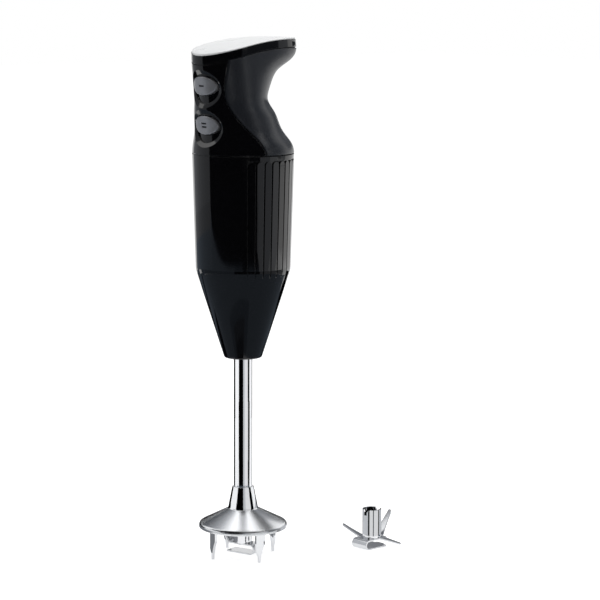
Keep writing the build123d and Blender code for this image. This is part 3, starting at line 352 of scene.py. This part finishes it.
# Spun and turned stainless guard: satin bell with turning rings, polished neck and prongs.
GUARD_STEEL = SpunSteel(
    "spun_stainless_guard", "#D3D4D6", "#C6C8CB", Pattern.TURNED, spacing_mm=0.3, relief_mm=0.004,
    roughness=0.06, spread=0.025, metallic=1.0, edge_mm=0.3, brushed=0.4,
)
# Stainless hub, turned and polished: clear reflections with a trace of rings.
HUB_STEEL = Finish(
    "turned_stainless_hub", "#D7D8DA", "#CDCED1", Pattern.TURNED, spacing_mm=0.3, relief_mm=0.0015,
    roughness=0.06, spread=0.02, metallic=1.0, edge_mm=0.25,
)
# The same steel with its rings round the loose blade's own axis.
LOOSE_HUB_STEEL = replace(HUB_STEEL, name="turned_stainless_loose_hub", axis=LOOSE_AXIS)
# Stainless strip, rolled and bent: long fine scratches, softer reflections than the hub.
BLADE_STEEL = Finish(
    "rolled_stainless_strip", "#CFD0D2", "#BDBFC2", Pattern.GROUND, spacing_mm=0.4, relief_mm=0.003,
    roughness=0.13, spread=0.05, metallic=1.0, edge_mm=0.25,
)
# Moulded nitrile rubber: near black and dull.
RUBBER = Finish(
    "moulded_nitrile_rubber", "#17181A", "#101113", Pattern.GRAINY, spacing_mm=0.5, relief_mm=0.02,
    roughness=0.62, spread=0.08,
)
# Natural nylon: milky off-white with a waxy sheen.
NYLON = Finish(
    "moulded_natural_nylon", "#D8D2C1", "#CBC4B0", Pattern.PEEL, spacing_mm=0.7, relief_mm=0.015,
    roughness=0.42, spread=0.07, ior=1.53,
)
# Phenolic switch bodies: dark brown-black, semi-matt.
PHENOLIC = Finish(
    "moulded_phenolic", "#2A211D", "#201915", Pattern.GRAINY, spacing_mm=0.4, relief_mm=0.012,
    roughness=0.48, spread=0.07, ior=1.6,
)
# Glass-epoxy board: green lacquer with the weave showing through.
BOARD = Finish(
    "lacquered_glass_epoxy", "#2F5B3A", "#274D31", Pattern.WOVEN, spacing_mm=0.8, relief_mm=0.01,
    roughness=0.32, spread=0.06,
)
# Polypropylene film capacitor in its moulded box: warm yellow, slightly glossy.
CAPACITOR_BOX = Finish(
    "moulded_yellow_capacitor_box", "#C9A63A", "#BA9630", Pattern.PEEL, spacing_mm=0.6, relief_mm=0.012,
    roughness=0.4, spread=0.06,
)
# Pressed steel sheets of 0.5 mm, oxidised: blue-grey, with their edges in level lines.
LAMINATIONS = Finish(
    "stacked_electrical_steel", "#6E7276", "#4B4F54", Pattern.STACKED, spacing_mm=0.5, relief_mm=0.05,
    roughness=0.42, spread=0.08, metallic=1.0,
)
# Enamelled copper wire of 0.5 mm, laid side by side and varnished: ribbed and warm under a clear gloss.
COPPER_WIRE = Finish(
    "enamelled_copper_wire", "#B4652E", "#7A3C17", Pattern.WOUND, spacing_mm=0.5, relief_mm=0.12,
    roughness=0.3, spread=0.06, metallic=1.0, coat=0.4,
)
# Drawn copper bars, turned on the lathe: bright, with fine rings.
COMMUTATOR_COPPER = Finish(
    "turned_copper", "#C27B4B", "#A9683D", Pattern.TURNED, spacing_mm=0.25, relief_mm=0.004,
    roughness=0.2, spread=0.05, metallic=1.0,
)
# Rolled brass: yellow, with the long lines of the rolls.
BRASS = Finish(
    "rolled_brass", "#C7A45A", "#B08E48", Pattern.GROUND, spacing_mm=0.35, relief_mm=0.004,
    roughness=0.24, spread=0.06, metallic=1.0,
)
# Sintered bronze: warm and open-pored.
BRONZE = Finish(
    "sintered_bronze", "#9C7440", "#7F5C30", Pattern.GRAINY, spacing_mm=0.25, relief_mm=0.012,
    roughness=0.4, spread=0.08, metallic=1.0,
)
# Ground bearing steel: smooth and cool, with very fine rings.
BEARING_STEEL = Finish(
    "ground_bearing_steel", "#B9BCC0", "#A8ABB0", Pattern.TURNED, spacing_mm=0.25, relief_mm=0.002,
    roughness=0.12, spread=0.04, metallic=1.0,
)
# Zinc-plated steel screws: slightly cool and cloudy.
ZINC_SCREW = Finish(
    "zinc_plated_steel", "#B7BBC1", "#9EA3AA", Pattern.GRAINY, spacing_mm=0.4, relief_mm=0.006,
    roughness=0.28, spread=0.07, metallic=1.0,
)
# Pressed electrographite: matt grey-black.
CARBON = Finish(
    "pressed_electrographite", "#2B2C2E", "#1F2022", Pattern.GRAINY, spacing_mm=0.2, relief_mm=0.012,
    roughness=0.55, spread=0.07,
)
# Die-cast aluminium: light grey with a fine cast skin.
CAST_ALUMINIUM = Finish(
    "die_cast_aluminium", "#B4B7BA", "#9DA1A5", Pattern.GRAINY, spacing_mm=0.6, relief_mm=0.02,
    roughness=0.38, spread=0.08, metallic=1.0,
)


def dress(finish: Finish, *nodes: str) -> None:
    """Gives CAD nodes their finish.

    Args:
        finish: Finish that the nodes get.
        nodes: Names of CAD nodes.
    """
    for name in nodes:
        mesh = frame["nodes"][name].data
        mesh.materials.clear()
        mesh.materials.append(finish.material())
        LOG.info("%s: %s", name, finish.name)


def finished_mesh(shape: bmesh.types.BMesh, name: str) -> Mesh:
    """Turns a shape into a mesh and frees the shape.

    Args:
        shape: Shape with its faces.
        name: Name of the mesh.

    Returns:
        The new mesh.
    """
    mesh = bpy.data.meshes.new(name)
    shape.to_mesh(mesh)
    shape.free()
    return mesh


def place_in_scene(name: str, data: bpy.types.ID) -> bpy.types.Object:
    """Adds an object with its data to the scene.

    Args:
        name: Name of the object.
        data: Its mesh, camera or light.

    Returns:
        The new object.
    """
    made = bpy.data.objects.new(name, data)
    bpy.context.scene.collection.objects.link(made)
    return made


def piece(name: str, mesh: Mesh, finish: Finish, body: str) -> bpy.types.Object:
    """Adds a new piece to the scene, dressed and riding on its body.

    Args:
        name: Name of the piece.
        mesh: Its mesh, in the shared frame.
        finish: Its finish.
        body: CAD body that carries it.

    Returns:
        The new object.
    """
    made = place_in_scene(name, mesh)
    mesh.materials.append(finish.material())
    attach(made, body)
    LOG.info("%s: %s on %s", name, finish.name, body)
    return made


class Tone(Enum):
    """Paper of a reflector card, as the colour that it shows."""

    BLACK = "#000000"
    COAL = "#4A4E54"
    SLATE = "#5F6974"
    STEEL = "#707A85"
    ASH = "#8C8E92"
    GREY = "#AEB1B6"
    PALE = "#DEE0E3"
    WHITE = "#FFFFFF"


@dataclass(frozen=True)
class Lamp:
    """A soft box that faces the object.

    Its bearing is in degrees to the right of the camera, and the other sizes are in metres. A radiance of 1
    renders white.
    """

    name: str
    bearing: float
    height: float
    distance: float
    width: float
    tall: float
    radiance: float


# Reach of the upright cards in metres. The first five are for tall cards round the body and the handle, one
# behind the other where they overlap; then come those for the bell and for the loose blade.
NEAREST_WALL = 0.59
NEAR_WALL = 0.595
WALL = 0.60
BACK_WALL = 0.61
LAST_WALL = 0.62
BELL_WALL = 1.10
LOOSE_WALL = 0.036
# Leaning cards under the body's lower edge: reach and height of their low edge, of the joint where two stand
# one above the other, and of their high edge.
HEM_LOW = (0.25, 0.0925)
HEM_MIDDLE = (0.265, 0.104)
HEM_HIGH = (0.30, 0.130)
# Width and rise of a corner that isn't rounded off.
SQUARE_CORNER = (0.0, 0.0)


@dataclass(frozen=True)
class Card:
    """A curved reflector card between two bearings, from its low edge to its high edge.

    Bearings are in degrees to the right of the camera, and an edge is its reach and height in metres. The
    card curves round the centre. The corner, in degrees and metres, rounds off the left end of its low edge.
    A lit card has a strength over 1.
    """

    name: str
    start: float
    end: float
    low: Pair
    high: Pair
    tone: Tone
    strength: float = 1.0
    corner: Pair = SQUARE_CORNER
    centre: Pair = SHAFT_AXIS

    @classmethod
    def level(
        cls, name: str, start: float, end: float, reaches: Pair, height: float, tone: Tone,
        strength: float = 1.0,
    ) -> "Card":
        """Makes a card that lies level at one height, between two reaches."""
        return cls(name, start, end, (reaches[0], height), (reaches[1], height), tone, strength)

    @classmethod
    def upright(
        cls, name: str, start: float, end: float, heights: Pair, tone: Tone, strength: float = 1.0,
        reach: float = WALL, corner: Pair = SQUARE_CORNER, centre: Pair = SHAFT_AXIS,
    ) -> "Card":
        """Makes a card that stands at one reach, between two heights."""
        low, high = ((reach, height) for height in heights)
        return cls(name, start, end, low, high, tone, strength, corner, centre)

    def low_height(self, bearing: float) -> float:
        """Gives the height of the low edge at a bearing.

        Args:
            bearing: Degrees to the right of the camera, within the card.

        Returns:
            Height in metres.
        """
        width, rise = self.corner
        if bearing >= self.start + width:
            return self.low[1]
        left = 1 - (bearing - self.start) / width
        return self.low[1] + rise * (1 - math.sqrt(1 - left * left))


@dataclass(frozen=True)
class Band:
    """An upright stripe in the tube and the neck: one tone between two bearings, on several rings of cards.

    A ring is its reach and its lowest and highest level in metres. Each serves another length of tube,
    because the tube reflects lower the further away the ring is.
    """

    name: str
    start: float
    end: float
    tone: Tone
    strength: float
    rings: tuple[tuple[float, float, float], ...]

    def cards(self) -> list[Card]:
        """Makes one card for each ring.

        Returns:
            The cards, in the order of the rings.
        """
        made = []
        for number, (reach, *heights) in enumerate(self.rings, 1):
            name = f"{self.name}_{number}"
            card = Card.upright(name, self.start, self.end, heights, self.tone, self.strength, reach)
            made.append(card)
        return made


# Rings that serve the neck and the top of the tube at every bearing.
FAR_RINGS = ((0.36, 0.050, 0.108), (0.46, 0.001, 0.075))
# With nearer ones for the rest of it: close in front and at the sides, where the cone looks over them, and
# further out behind.
FRONT_RINGS = ((0.05, 0.055, 0.095), (0.10, 0.026, 0.047)) + FAR_RINGS
SIDE_RINGS = ((0.060, 0.034, 0.081),) + FAR_RINGS
REAR_RINGS = ((0.20, 0.001, 0.070),) + FAR_RINGS


@dataclass(frozen=True)
class ProductCamera:
    """Long-lens camera at the photograph's viewing angle. Angles in degrees, other sizes in metres."""

    azimuth: float = -40.0
    distance: float = 1.5
    height: float = 0.387
    pitch: float = 8.256
    yaw: float = 1.405
    roll: float = 0.21
    focal_pixels: float = 2345.18
    frame_pixels: float = 600.0
    sensor_mm: float = 36.0
    nearest: float = 0.05
    farthest: float = 50.0

    def build(self) -> None:
        """Makes the camera and hands it to the scene."""
        angles = (self.azimuth, self.yaw, self.pitch, self.roll)
        turn, yaw, pitch, roll = (math.radians(angle) for angle in angles)
        ahead = Vector((-math.sin(turn), math.cos(turn), 0.0))
        side = Vector((math.cos(turn), math.sin(turn), 0.0))
        level = ahead * math.cos(yaw) + side * math.sin(yaw)
        side = side * math.cos(yaw) - ahead * math.sin(yaw)
        up = level * math.sin(pitch) + Vector((0.0, 0.0, math.cos(pitch)))
        back = Vector((0.0, 0.0, math.sin(pitch))) - level * math.cos(pitch)
        right = side * math.cos(roll) + up * math.sin(roll)
        up = up * math.cos(roll) - side * math.sin(roll)
        data = bpy.data.cameras.new("product_camera")
        data.sensor_width = self.sensor_mm
        data.lens = self.sensor_mm * self.focal_pixels / self.frame_pixels
        data.clip_start = self.nearest
        data.clip_end = self.farthest
        turned = Matrix((right, up, back)).transposed().to_4x4()
        spot = -ahead * self.distance + Vector((0.0, 0.0, self.height))
        camera = place_in_scene("product_camera", data)
        camera.matrix_world = Matrix.Translation(spot) @ turned
        bpy.context.scene.camera = camera


@dataclass
class Studio:
    """White floor and surround, soft lamps, and cards that the bright metal and gloss black reflect.

    The bands stripe the tube and the neck, mats on the floor keep the nose cone dark, tall cards stand round
    the body and the handle, high ones shade the bell, and small ones stripe the loose blade's hub. Lengths
    are in metres, and bearings in degrees to the right of the camera. A hub stripe is given by the bearing at
    which it ends, and the first one begins at hub_start.
    """

    camera: ProductCamera = field(default_factory=ProductCamera)
    floor_half: float = 6.0
    floor_cells: int = 8
    floor_colour: str = "#E6E6E6"
    floor_glow: float = 0.7
    fill: float = 0.45
    aim_height: float = 0.18
    card_steps: int = 48
    lamps: tuple[Lamp, ...] = (
        Lamp("left_softbox", -100.0, height=0.35, distance=1.1, width=0.7, tall=1.5, radiance=1.5),
        Lamp("right_softbox", 112.0, height=0.40, distance=1.2, width=0.8, tall=1.5, radiance=1.3),
        Lamp("top_softbox", 20.0, height=1.35, distance=0.25, width=1.0, tall=0.8, radiance=2.3),
    )
    bands: tuple[Band, ...] = (
        Band("tube_left_side", -113.0, -80.0, Tone.WHITE, 1.4, SIDE_RINGS),
        Band("tube_left", -80.0, -54.0, Tone.WHITE, 1.4, FRONT_RINGS),
        Band("tube_dark_front", -54.0, 2.0, Tone.BLACK, 1.0, FRONT_RINGS),
        Band("tube_soft_front", 2.0, 20.0, Tone.PALE, 1.0, FRONT_RINGS),
        Band("tube_front", 20.0, 61.0, Tone.WHITE, 1.1, FRONT_RINGS),
        Band("tube_dark_line", 61.0, 87.0, Tone.BLACK, 1.0, FRONT_RINGS),
        Band("tube_right_side", 87.0, 134.0, Tone.WHITE, 1.4, SIDE_RINGS),
        Band("tube_dark_rear_right", 134.0, 170.0, Tone.BLACK, 1.0, REAR_RINGS),
        Band("tube_dark_rear_left", 190.0, 247.0, Tone.BLACK, 1.0, REAR_RINGS),
    )
    cards: tuple[Card, ...] = (
        # Mats on the floor, under the nose cone and under the left prongs.
        Card.level("nose_flag", -34.0, 0.0, (0.12, 0.165), 0.002, Tone.COAL, 0.5),
        Card.level("nose_coal", -40.0, 6.0, (0.12, 0.185), 0.0015, Tone.COAL),
        Card.level("nose_slate", -54.0, 20.0, (0.12, 0.205), 0.0012, Tone.SLATE, 0.9),
        Card.level("floor_mat", -180.0, 180.0, (0.12, 0.62), 0.001, Tone.STEEL),
        Card.level("prong_mat", -170.0, -75.0, (0.032, 0.12), 0.001, Tone.ASH),
        # Round the ribbed body: grey at the left, black with a round corner in front, pale at the right.
        Card.upright("body_left_reflector", -146.0, -80.0, (0.152, 0.36), Tone.GREY, 0.85),
        Card.upright("body_left_soft", -146.0, -80.0, (0.128, 0.152), Tone.GREY, 0.70),
        Card.upright("body_left_low", -146.0, -80.0, (0.001, 0.128), Tone.STEEL, 1.3),
        Card.upright("body_corner_reflector", -80.0, -20.0, (0.001, 0.16), Tone.STEEL, 1.15, LAST_WALL),
        Card.upright("body_low_reflector", -20.0, 38.0, (0.001, 0.16), Tone.SLATE, reach=LAST_WALL),
        Card.upright("body_front_flag", -80.0, 38.0, (0.088, 0.195), Tone.BLACK, corner=(58.0, 0.06)),
        Card.upright("body_right_reflector", 38.0, 62.0, (0.05, 0.20), Tone.GREY),
        Card.upright("body_rim_reflector", 62.0, 82.0, (0.05, 0.20), Tone.PALE),
        # Under the body's lower edge; the tops of the button wells see the white one.
        Card("hem_rim", -150.0, -131.0, HEM_LOW, HEM_HIGH, Tone.SLATE),
        Card("well_top_reflector", -131.0, -119.0, HEM_MIDDLE, HEM_HIGH, Tone.WHITE, 1.5),
        Card("well_low_edge", -131.0, -119.0, HEM_LOW, HEM_MIDDLE, Tone.SLATE),
        Card("hem_left", -119.0, -20.0, HEM_LOW, HEM_HIGH, Tone.SLATE),
        Card("hem_flag", -20.0, 40.0, HEM_LOW, HEM_HIGH, Tone.BLACK),
        Card("hem_right", 40.0, 110.0, HEM_LOW, HEM_HIGH, Tone.ASH),
        # Round the handle: black for the gloss panel, grey for the satin shell, lit ones for their lights.
        Card.upright("ledge_flag", 172.0, 188.0, (0.29, 0.345), Tone.BLACK),
        Card.upright("panel_flag", -80.0, 1.0, (0.195, 1.2), Tone.BLACK),
        Card.upright("grip_front_reflector", 1.0, 14.0, (0.195, 0.233), Tone.WHITE, 1.7),
        Card.upright("grip_soft_reflector", 14.0, 24.0, (0.195, 0.233), Tone.ASH),
        Card.upright("panel_right_flag", 1.0, 49.0, (0.233, 1.2), Tone.BLACK),
        Card.upright("grip_middle_flag", 24.0, 92.0, (0.19, 0.36), Tone.COAL, reach=BACK_WALL),
        Card.upright("foot_reflector", 52.0, 66.0, (0.315, 0.37), Tone.WHITE, 1.6),
        Card.upright("well_low_reflector", -120.0, -109.0, (0.585, 0.66), Tone.WHITE, 1.3, NEAR_WALL),
        Card.upright("shoulder_low_flag", 49.0, 92.0, (0.36, 0.47), Tone.ASH, reach=BACK_WALL),
        Card.upright("shoulder_reflector", 51.0, 66.0, (0.53, 0.66), Tone.WHITE, 2.0, NEAREST_WALL),
        Card.upright("shoulder_flag", 49.0, 92.0, (0.47, 1.2), Tone.COAL, reach=BACK_WALL),
        Card.upright("grip_rim_reflector", 92.0, 108.0, (0.19, 0.60), Tone.GREY, reach=BACK_WALL),
        # High behind the object for the bell: bright on top, darker towards the floor, with a black wedge.
        Card.upright("bell_top_reflector", 125.0, 235.0, (1.95, 4.8), Tone.WHITE, 2.2, BELL_WALL),
        Card.upright("bell_left_pale", 191.0, 235.0, (1.50, 1.95), Tone.PALE, reach=BELL_WALL),
        Card.upright("bell_left_grey", 191.0, 235.0, (1.04, 1.50), Tone.GREY, reach=BELL_WALL),
        Card.upright("bell_left_ash", 191.0, 235.0, (0.72, 1.04), Tone.ASH, reach=BELL_WALL),
        Card.upright("bell_left_flag", 191.0, 235.0, (0.34, 0.72), Tone.COAL, reach=BELL_WALL),
        Card.upright("bell_wedge_flag", 125.0, 169.0, (1.10, 1.90), Tone.BLACK, reach=BELL_WALL),
        Card.upright("bell_right_grey", 125.0, 169.0, (0.72, 1.10), Tone.GREY, reach=BELL_WALL),
        Card.upright("bell_right_ash", 125.0, 169.0, (0.48, 0.72), Tone.ASH, reach=BELL_WALL),
        Card.upright("bell_right_flag", 125.0, 169.0, (0.34, 0.48), Tone.COAL, reach=BELL_WALL),
        # For the right prong and for the blades.
        Card.level("prong_right_mat", 59.0, 78.0, (0.045, 0.072), 0.001, Tone.ASH),
        Card.upright("blade_left_reflector", -124.0, -80.0, (0.36, 0.66), Tone.ASH),
    )
    hub_start: float = -133.0
    hub_heights: Pair = (0.001, 0.034)
    hub_stripes: tuple[tuple[str, float, Tone], ...] = (
        ("hub_left_reflector", -46.0, Tone.PALE),
        ("hub_left_flag", -28.0, Tone.BLACK),
        ("hub_front_reflector", 9.0, Tone.WHITE),
        ("hub_front_flag", 19.0, Tone.COAL),
        ("hub_right_reflector", 74.0, Tone.WHITE),
        ("hub_right_flag", 90.0, Tone.BLACK),
        ("hub_rim_reflector", 135.0, Tone.PALE),
        ("hub_rear_flag", 227.0, Tone.ASH),
    )

    def direction(self, bearing: float) -> Vector:
        """Gives the level direction from the shaft axis at a bearing from the camera."""
        turn = math.radians(self.camera.azimuth + bearing)
        return Vector((math.sin(turn), -math.cos(turn), 0.0))

    def hub_cards(self) -> list[Card]:
        """Makes the stripes round the loose blade's hub, each from the end of the one before.

        Returns:
            The cards, from left to right.
        """
        made = []
        start = self.hub_start
        heights = self.hub_heights
        for name, end, tone in self.hub_stripes:
            card = Card.upright(name, start, end, heights, tone, reach=LOOSE_WALL, centre=LOOSE_AXIS)
            made.append(card)
            start = end
        return made

    def build_lamp(self, lamp: Lamp) -> None:
        """Hangs a soft lamp that faces the middle of the object; reflections show the cards instead of it.

        Args:
            lamp: Place, size and brightness.
        """
        data = bpy.data.lights.new(lamp.name, "AREA")
        data.shape = "RECTANGLE"
        data.size, data.size_y = lamp.width, lamp.tall
        data.energy = lamp.radiance * math.pi * lamp.width * lamp.tall
        spot = self.direction(lamp.bearing) * lamp.distance + Vector((0.0, 0.0, lamp.height))
        aim = Vector((0.0, 0.0, self.aim_height)) - spot
        made = place_in_scene(lamp.name, data)
        made.location = spot
        made.rotation_euler = aim.to_track_quat("-Z", "Y").to_euler()
        made.visible_glossy = False

    def card_mesh(self, card: Card) -> Mesh:
        """Bends a card round its centre.

        Args:
            card: Bearings and edges of the card.

        Returns:
            The mesh of the card.
        """
        shape = bmesh.new()
        centre = Vector((*card.centre, 0.0))
        pairs = []
        for i in range(self.card_steps + 1):
            bearing = card.start + (card.end - card.start) * i / self.card_steps
            outward = self.direction(bearing)
            ends = ((card.low[0], card.low_height(bearing)), card.high)
            spots = [centre + outward * reach + Vector((0.0, 0.0, level)) for reach, level in ends]
            pairs.append([shape.verts.new(spot) for spot in spots])
        for left, right in zip(pairs, pairs[1:]):
            shape.faces.new((left[0], right[0], right[1], left[1]))
        return finished_mesh(shape, card.name)

    def build_card(self, card: Card) -> None:
        """Stands or lays a curved card round the object; only reflections see it.

        Args:
            card: Bearings, edges and tone of the card.
        """
        mesh = self.card_mesh(card)
        paper = bpy.data.materials.new(card.name)
        paper.use_nodes = True
        tree = paper.node_tree
        tree.nodes.clear()
        light = {"Color": linear(card.tone.value), "Strength": card.strength}
        glow = add(tree, "ShaderNodeEmission", light)
        add(tree, "ShaderNodeOutputMaterial", {"Surface": glow.outputs[0]})
        mesh.materials.append(paper)
        made = place_in_scene(card.name, mesh)
        made.visible_camera = False
        made.visible_diffuse = False
        made.visible_shadow = False
        made.visible_transmission = False

    def shown(self, tree: Tree) -> Socket:
        """Gives 1 for rays that show the background: from the camera, a reflection or glass.

        Args:
            tree: Node tree of the floor or the surround.

        Returns:
            Value socket, 0 or 1.
        """
        path = add(tree, "ShaderNodeLightPath").outputs
        first = {0: path["Is Camera Ray"], 1: path["Is Glossy Ray"]}
        seen = add(tree, "ShaderNodeMath", first, operation="MAXIMUM").outputs[0]
        both = {0: seen, 1: path["Is Transmission Ray"]}
        return add(tree, "ShaderNodeMath", both, operation="MAXIMUM").outputs[0]

    def build_floor(self) -> None:
        """Lays the white floor, which keeps the object's shadow."""
        shape = bmesh.new()
        cells = self.floor_cells
        bmesh.ops.create_grid(shape, x_segments=cells, y_segments=cells, size=self.floor_half)
        mesh = finished_mesh(shape, "floor")
        paint = bpy.data.materials.new("white_studio_floor")
        paint.use_nodes = True
        tree = paint.node_tree
        tree.nodes.clear()
        matt = add(tree, "ShaderNodeBsdfDiffuse", {"Color": linear(self.floor_colour)})
        lift = add(tree, "ShaderNodeMath", {0: self.shown(tree), 1: self.floor_glow}, operation="MULTIPLY")
        glow = add(tree, "ShaderNodeEmission", {"Strength": lift.outputs[0]})
        both = add(tree, "ShaderNodeAddShader", {0: matt.outputs[0], 1: glow.outputs[0]})
        add(tree, "ShaderNodeOutputMaterial", {"Surface": both.outputs[0]})
        mesh.materials.append(paint)
        place_in_scene("floor", mesh)

    def build_surround(self) -> None:
        """Makes the white surround: plain fill light, white where it is seen."""
        world = bpy.data.worlds.new("white_surround")
        bpy.context.scene.world = world
        world.use_nodes = True
        tree = world.node_tree
        tree.nodes.clear()
        span = {"Value": self.shown(tree), "To Min": self.fill, "To Max": 1.0}
        level = add(tree, "ShaderNodeMapRange", span).outputs[0]
        sky = add(tree, "ShaderNodeBackground", {"Color": linear(Tone.WHITE.value), "Strength": level})
        add(tree, "ShaderNodeOutputWorld", {"Surface": sky.outputs[0]})

    def build(self) -> None:
        """Sets up camera, lamps, cards, floor and surround."""
        bpy.context.scene.view_settings.view_transform = "Standard"
        self.camera.build()
        for lamp in self.lamps:
            self.build_lamp(lamp)
        striped = [card for band in self.bands for card in band.cards()]
        for card in (*striped, *self.cards, *self.hub_cards()):
            self.build_card(card)
        self.build_floor()
        self.build_surround()


@dataclass
class MotorBody:
    """Ribbed motor housing, hooked handle shell, cap and pale top plate."""

    def dress(self) -> None:
        """Gives the shells and what holds them their finishes."""
        dress(BLACK_ABS, "motor_housing", "top_cap")
        dress(SATIN_ABS, "handle_shell")
        dress(PALE_ABS, "top_inlay")
        dress(RUBBER, "cord_gland", "nose_seal")
        dress(NYLON, "cord_clamp")
        dress(ZINC_SCREW, "clamp_screws", "handle_screws")

    def build(self) -> None:
        """Dresses the body."""
        self.dress()


@dataclass(frozen=True)
class SpeedButton:
    """A speed button: its CAD node, the body that it moves with, and the number of bars that mark it."""

    node: str
    body: str
    bars: int


@dataclass
class SwitchPanel:
    """Front panel with its two dished wells, speed buttons and what they work.

    Sizes are in millimetres. The dark fill of a mark stands mark_fill above the floor of its groove, and
    falls off towards its ends and its sides by the two powers in mark_fall. The search for that floor begins
    at search_start in front of the button.
    """

    mark_length: float = 4.3
    mark_width: float = 0.85
    mark_spacing: float = 2.2
    mark_fill: float = 0.42
    mark_fall: tuple[int, int] = (8, 4)
    mark_steps: tuple[int, int] = (12, 4)
    search_start: float = 10.0
    buttons: tuple[SpeedButton, ...] = (
        SpeedButton("low_speed_button", "low_button", 1),
        SpeedButton("high_speed_button", "high_button", 2),
    )

    def dress(self) -> None:
        """Gives panel, buttons and switches their finishes."""
        dress(PANEL_ABS, "switch_panel")
        dress(SILVER_LACQUER, "low_speed_button", "high_speed_button")
        dress(PHENOLIC, "low_speed_switch", "high_speed_switch")
        dress(NYLON, "low_speed_plunger", "high_speed_plunger", "switch_carrier")
        dress(ZINC_SCREW, "panel_screws")
        dress(BOARD, "circuit_board")
        dress(CAPACITOR_BOX, "suppression_capacitor")
        dress(PHENOLIC, "speed_diode")

    def mark_mesh(self, name: str, button: BVHTree, start: Vector) -> Mesh:
        """Fills one engraved bar with flat black: it follows the floor of the groove and is domed at its rim.

        Args:
            name: Name of the mesh.
            button: Search tree of the button's own surface.
            start: Middle of the bar in front of the button, in metres.

        Returns:
            The mesh of the dark fill.
        """
        shape = bmesh.new()
        rows = []
        across, up = self.mark_steps
        end_fall, side_fall = self.mark_fall
        inward = Vector((1.0, 0.0, 0.0))
        for i in range(across + 1):
            row = []
            for j in range(up + 1):
                y, z = 2 * i / across - 1, 2 * j / up - 1
                offset = Vector((0.0, y * self.mark_length / 2, z * self.mark_width / 2)) * MM
                floor = button.ray_cast(start + offset, inward)[0]
                dome = max(0.0, 1 - y ** end_fall) * max(0.0, 1 - z ** side_fall)
                row.append(shape.verts.new(floor - inward * self.mark_fill * dome * MM))
            rows.append(row)
        for i in range(across):
            for j in range(up):
                face = shape.faces.new((rows[i][j], rows[i][j + 1], rows[i + 1][j + 1], rows[i + 1][j]))
                face.smooth = True
        return finished_mesh(shape, name)

    def build_marks(self) -> None:
        """Fills the bars on both buttons with flat black: one for low speed, two for high."""
        for button in self.buttons:
            shape = bmesh.new()
            shape.from_mesh(frame["nodes"][button.node].data)
            surface = BVHTree.FromBMesh(shape)
            shape.free()
            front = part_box(button.node)[0].x
            for i in range(button.bars):
                start = middle(button.node)
                start.x = front - self.search_start * MM
                start.z += self.mark_spacing * (i - (button.bars - 1) / 2) * MM
                name = f"{button.node}_mark_{i + 1}"
                piece(name, self.mark_mesh(name, surface, start), DARK_BAR_FILL, button.body)

    def build(self) -> None:
        """Dresses the panel and fills the speed marks with flat black."""
        self.dress()
        self.build_marks()


@dataclass
class Motor:
    """Motor, its frame and bearings, inside the housing."""

    spring_axis: tuple[float, float, float] = (1.0, 0.0, 0.0)

    def dress(self) -> None:
        """Gives the motor's pieces their finishes."""
        dress(CAST_ALUMINIUM, "motor_bridge", "lower_bracket")
        dress(ZINC_SCREW, "motor_screws")
        dress(LAMINATIONS, "stator_core", "armature_core")
        dress(COPPER_WIRE, "field_coil_rear", "field_coil_front", "armature_windings")
        dress(COMMUTATOR_COPPER, "commutator")
        dress(NYLON, "brush_frame", "fan")
        dress(BRASS, "brush_holder_rear", "brush_holder_front")
        dress(CARBON, "carbon_brush_rear", "carbon_brush_front")
        for bearing in ("upper_bearing", "lower_bearing"):
            dress(BEARING_STEEL, f"{bearing}_outer", f"{bearing}_inner", f"{bearing}_balls")
        dress(BEARING_STEEL, "motor_shaft")
        dress(RUBBER, "coupling")

    def build_spring(self, node: str) -> None:
        """Copies a brush spring's CAD mesh as a coil that rides on the housing, and hides the node.

        Args:
            node: CAD node of the spring.
        """
        mesh = frame["nodes"][node].data.copy()
        mesh.materials.clear()
        coil = piece(f"{node}_coil", mesh, BEARING_STEEL, "housing")
        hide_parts(node)
        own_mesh(coil)

    def build(self) -> None:
        """Dresses the motor, and makes the springs that the frame's joints say are pressed."""
        self.dress()
        for joint in frame["joints"]:
            for spring in joint.get("deforming_nodes", ()):
                self.build_spring(spring["node"])


@dataclass
class ShaftAndGuard:
    """Polished shaft tube with the drive spindle, and the pronged guard."""

    def dress(self) -> None:
        """Gives tube, guard and spindle their finishes."""
        dress(POLISHED_TUBE, "shaft_tube", "drive_spindle", "drive_pin")
        dress(GUARD_STEEL, "guard")
        dress(BEARING_STEEL, "tool_clip", "tube_lock_ring")
        dress(BRONZE, "upper_bush", "lower_bush")
        dress(RUBBER, "shaft_seal")

    def build(self) -> None:
        """Dresses the shaft and guard."""
        self.dress()


@dataclass
class Blades:
    """Whipping blade on the spindle and the loose cutting blade beside it."""

    def dress(self) -> None:
        """Gives hubs and strips their finishes."""
        dress(HUB_STEEL, "blade_hub")
        dress(LOOSE_HUB_STEEL, "spare_hub")
        dress(BLADE_STEEL, "whipping_blade", "cutting_blade")

    def build(self) -> None:
        """Dresses the blades."""
        self.dress()


def main() -> None:
    """Builds the scene in order: studio, body, panel, motor, shaft and blades."""
    logging.basicConfig(level=logging.INFO, format="%(message)s")
    for assembly in (Studio(), MotorBody(), SwitchPanel(), Motor(), ShaftAndGuard(), Blades()):
        LOG.info("building %s", type(assembly).__name__)
        assembly.build()


if __name__ == "__main__":
    main()
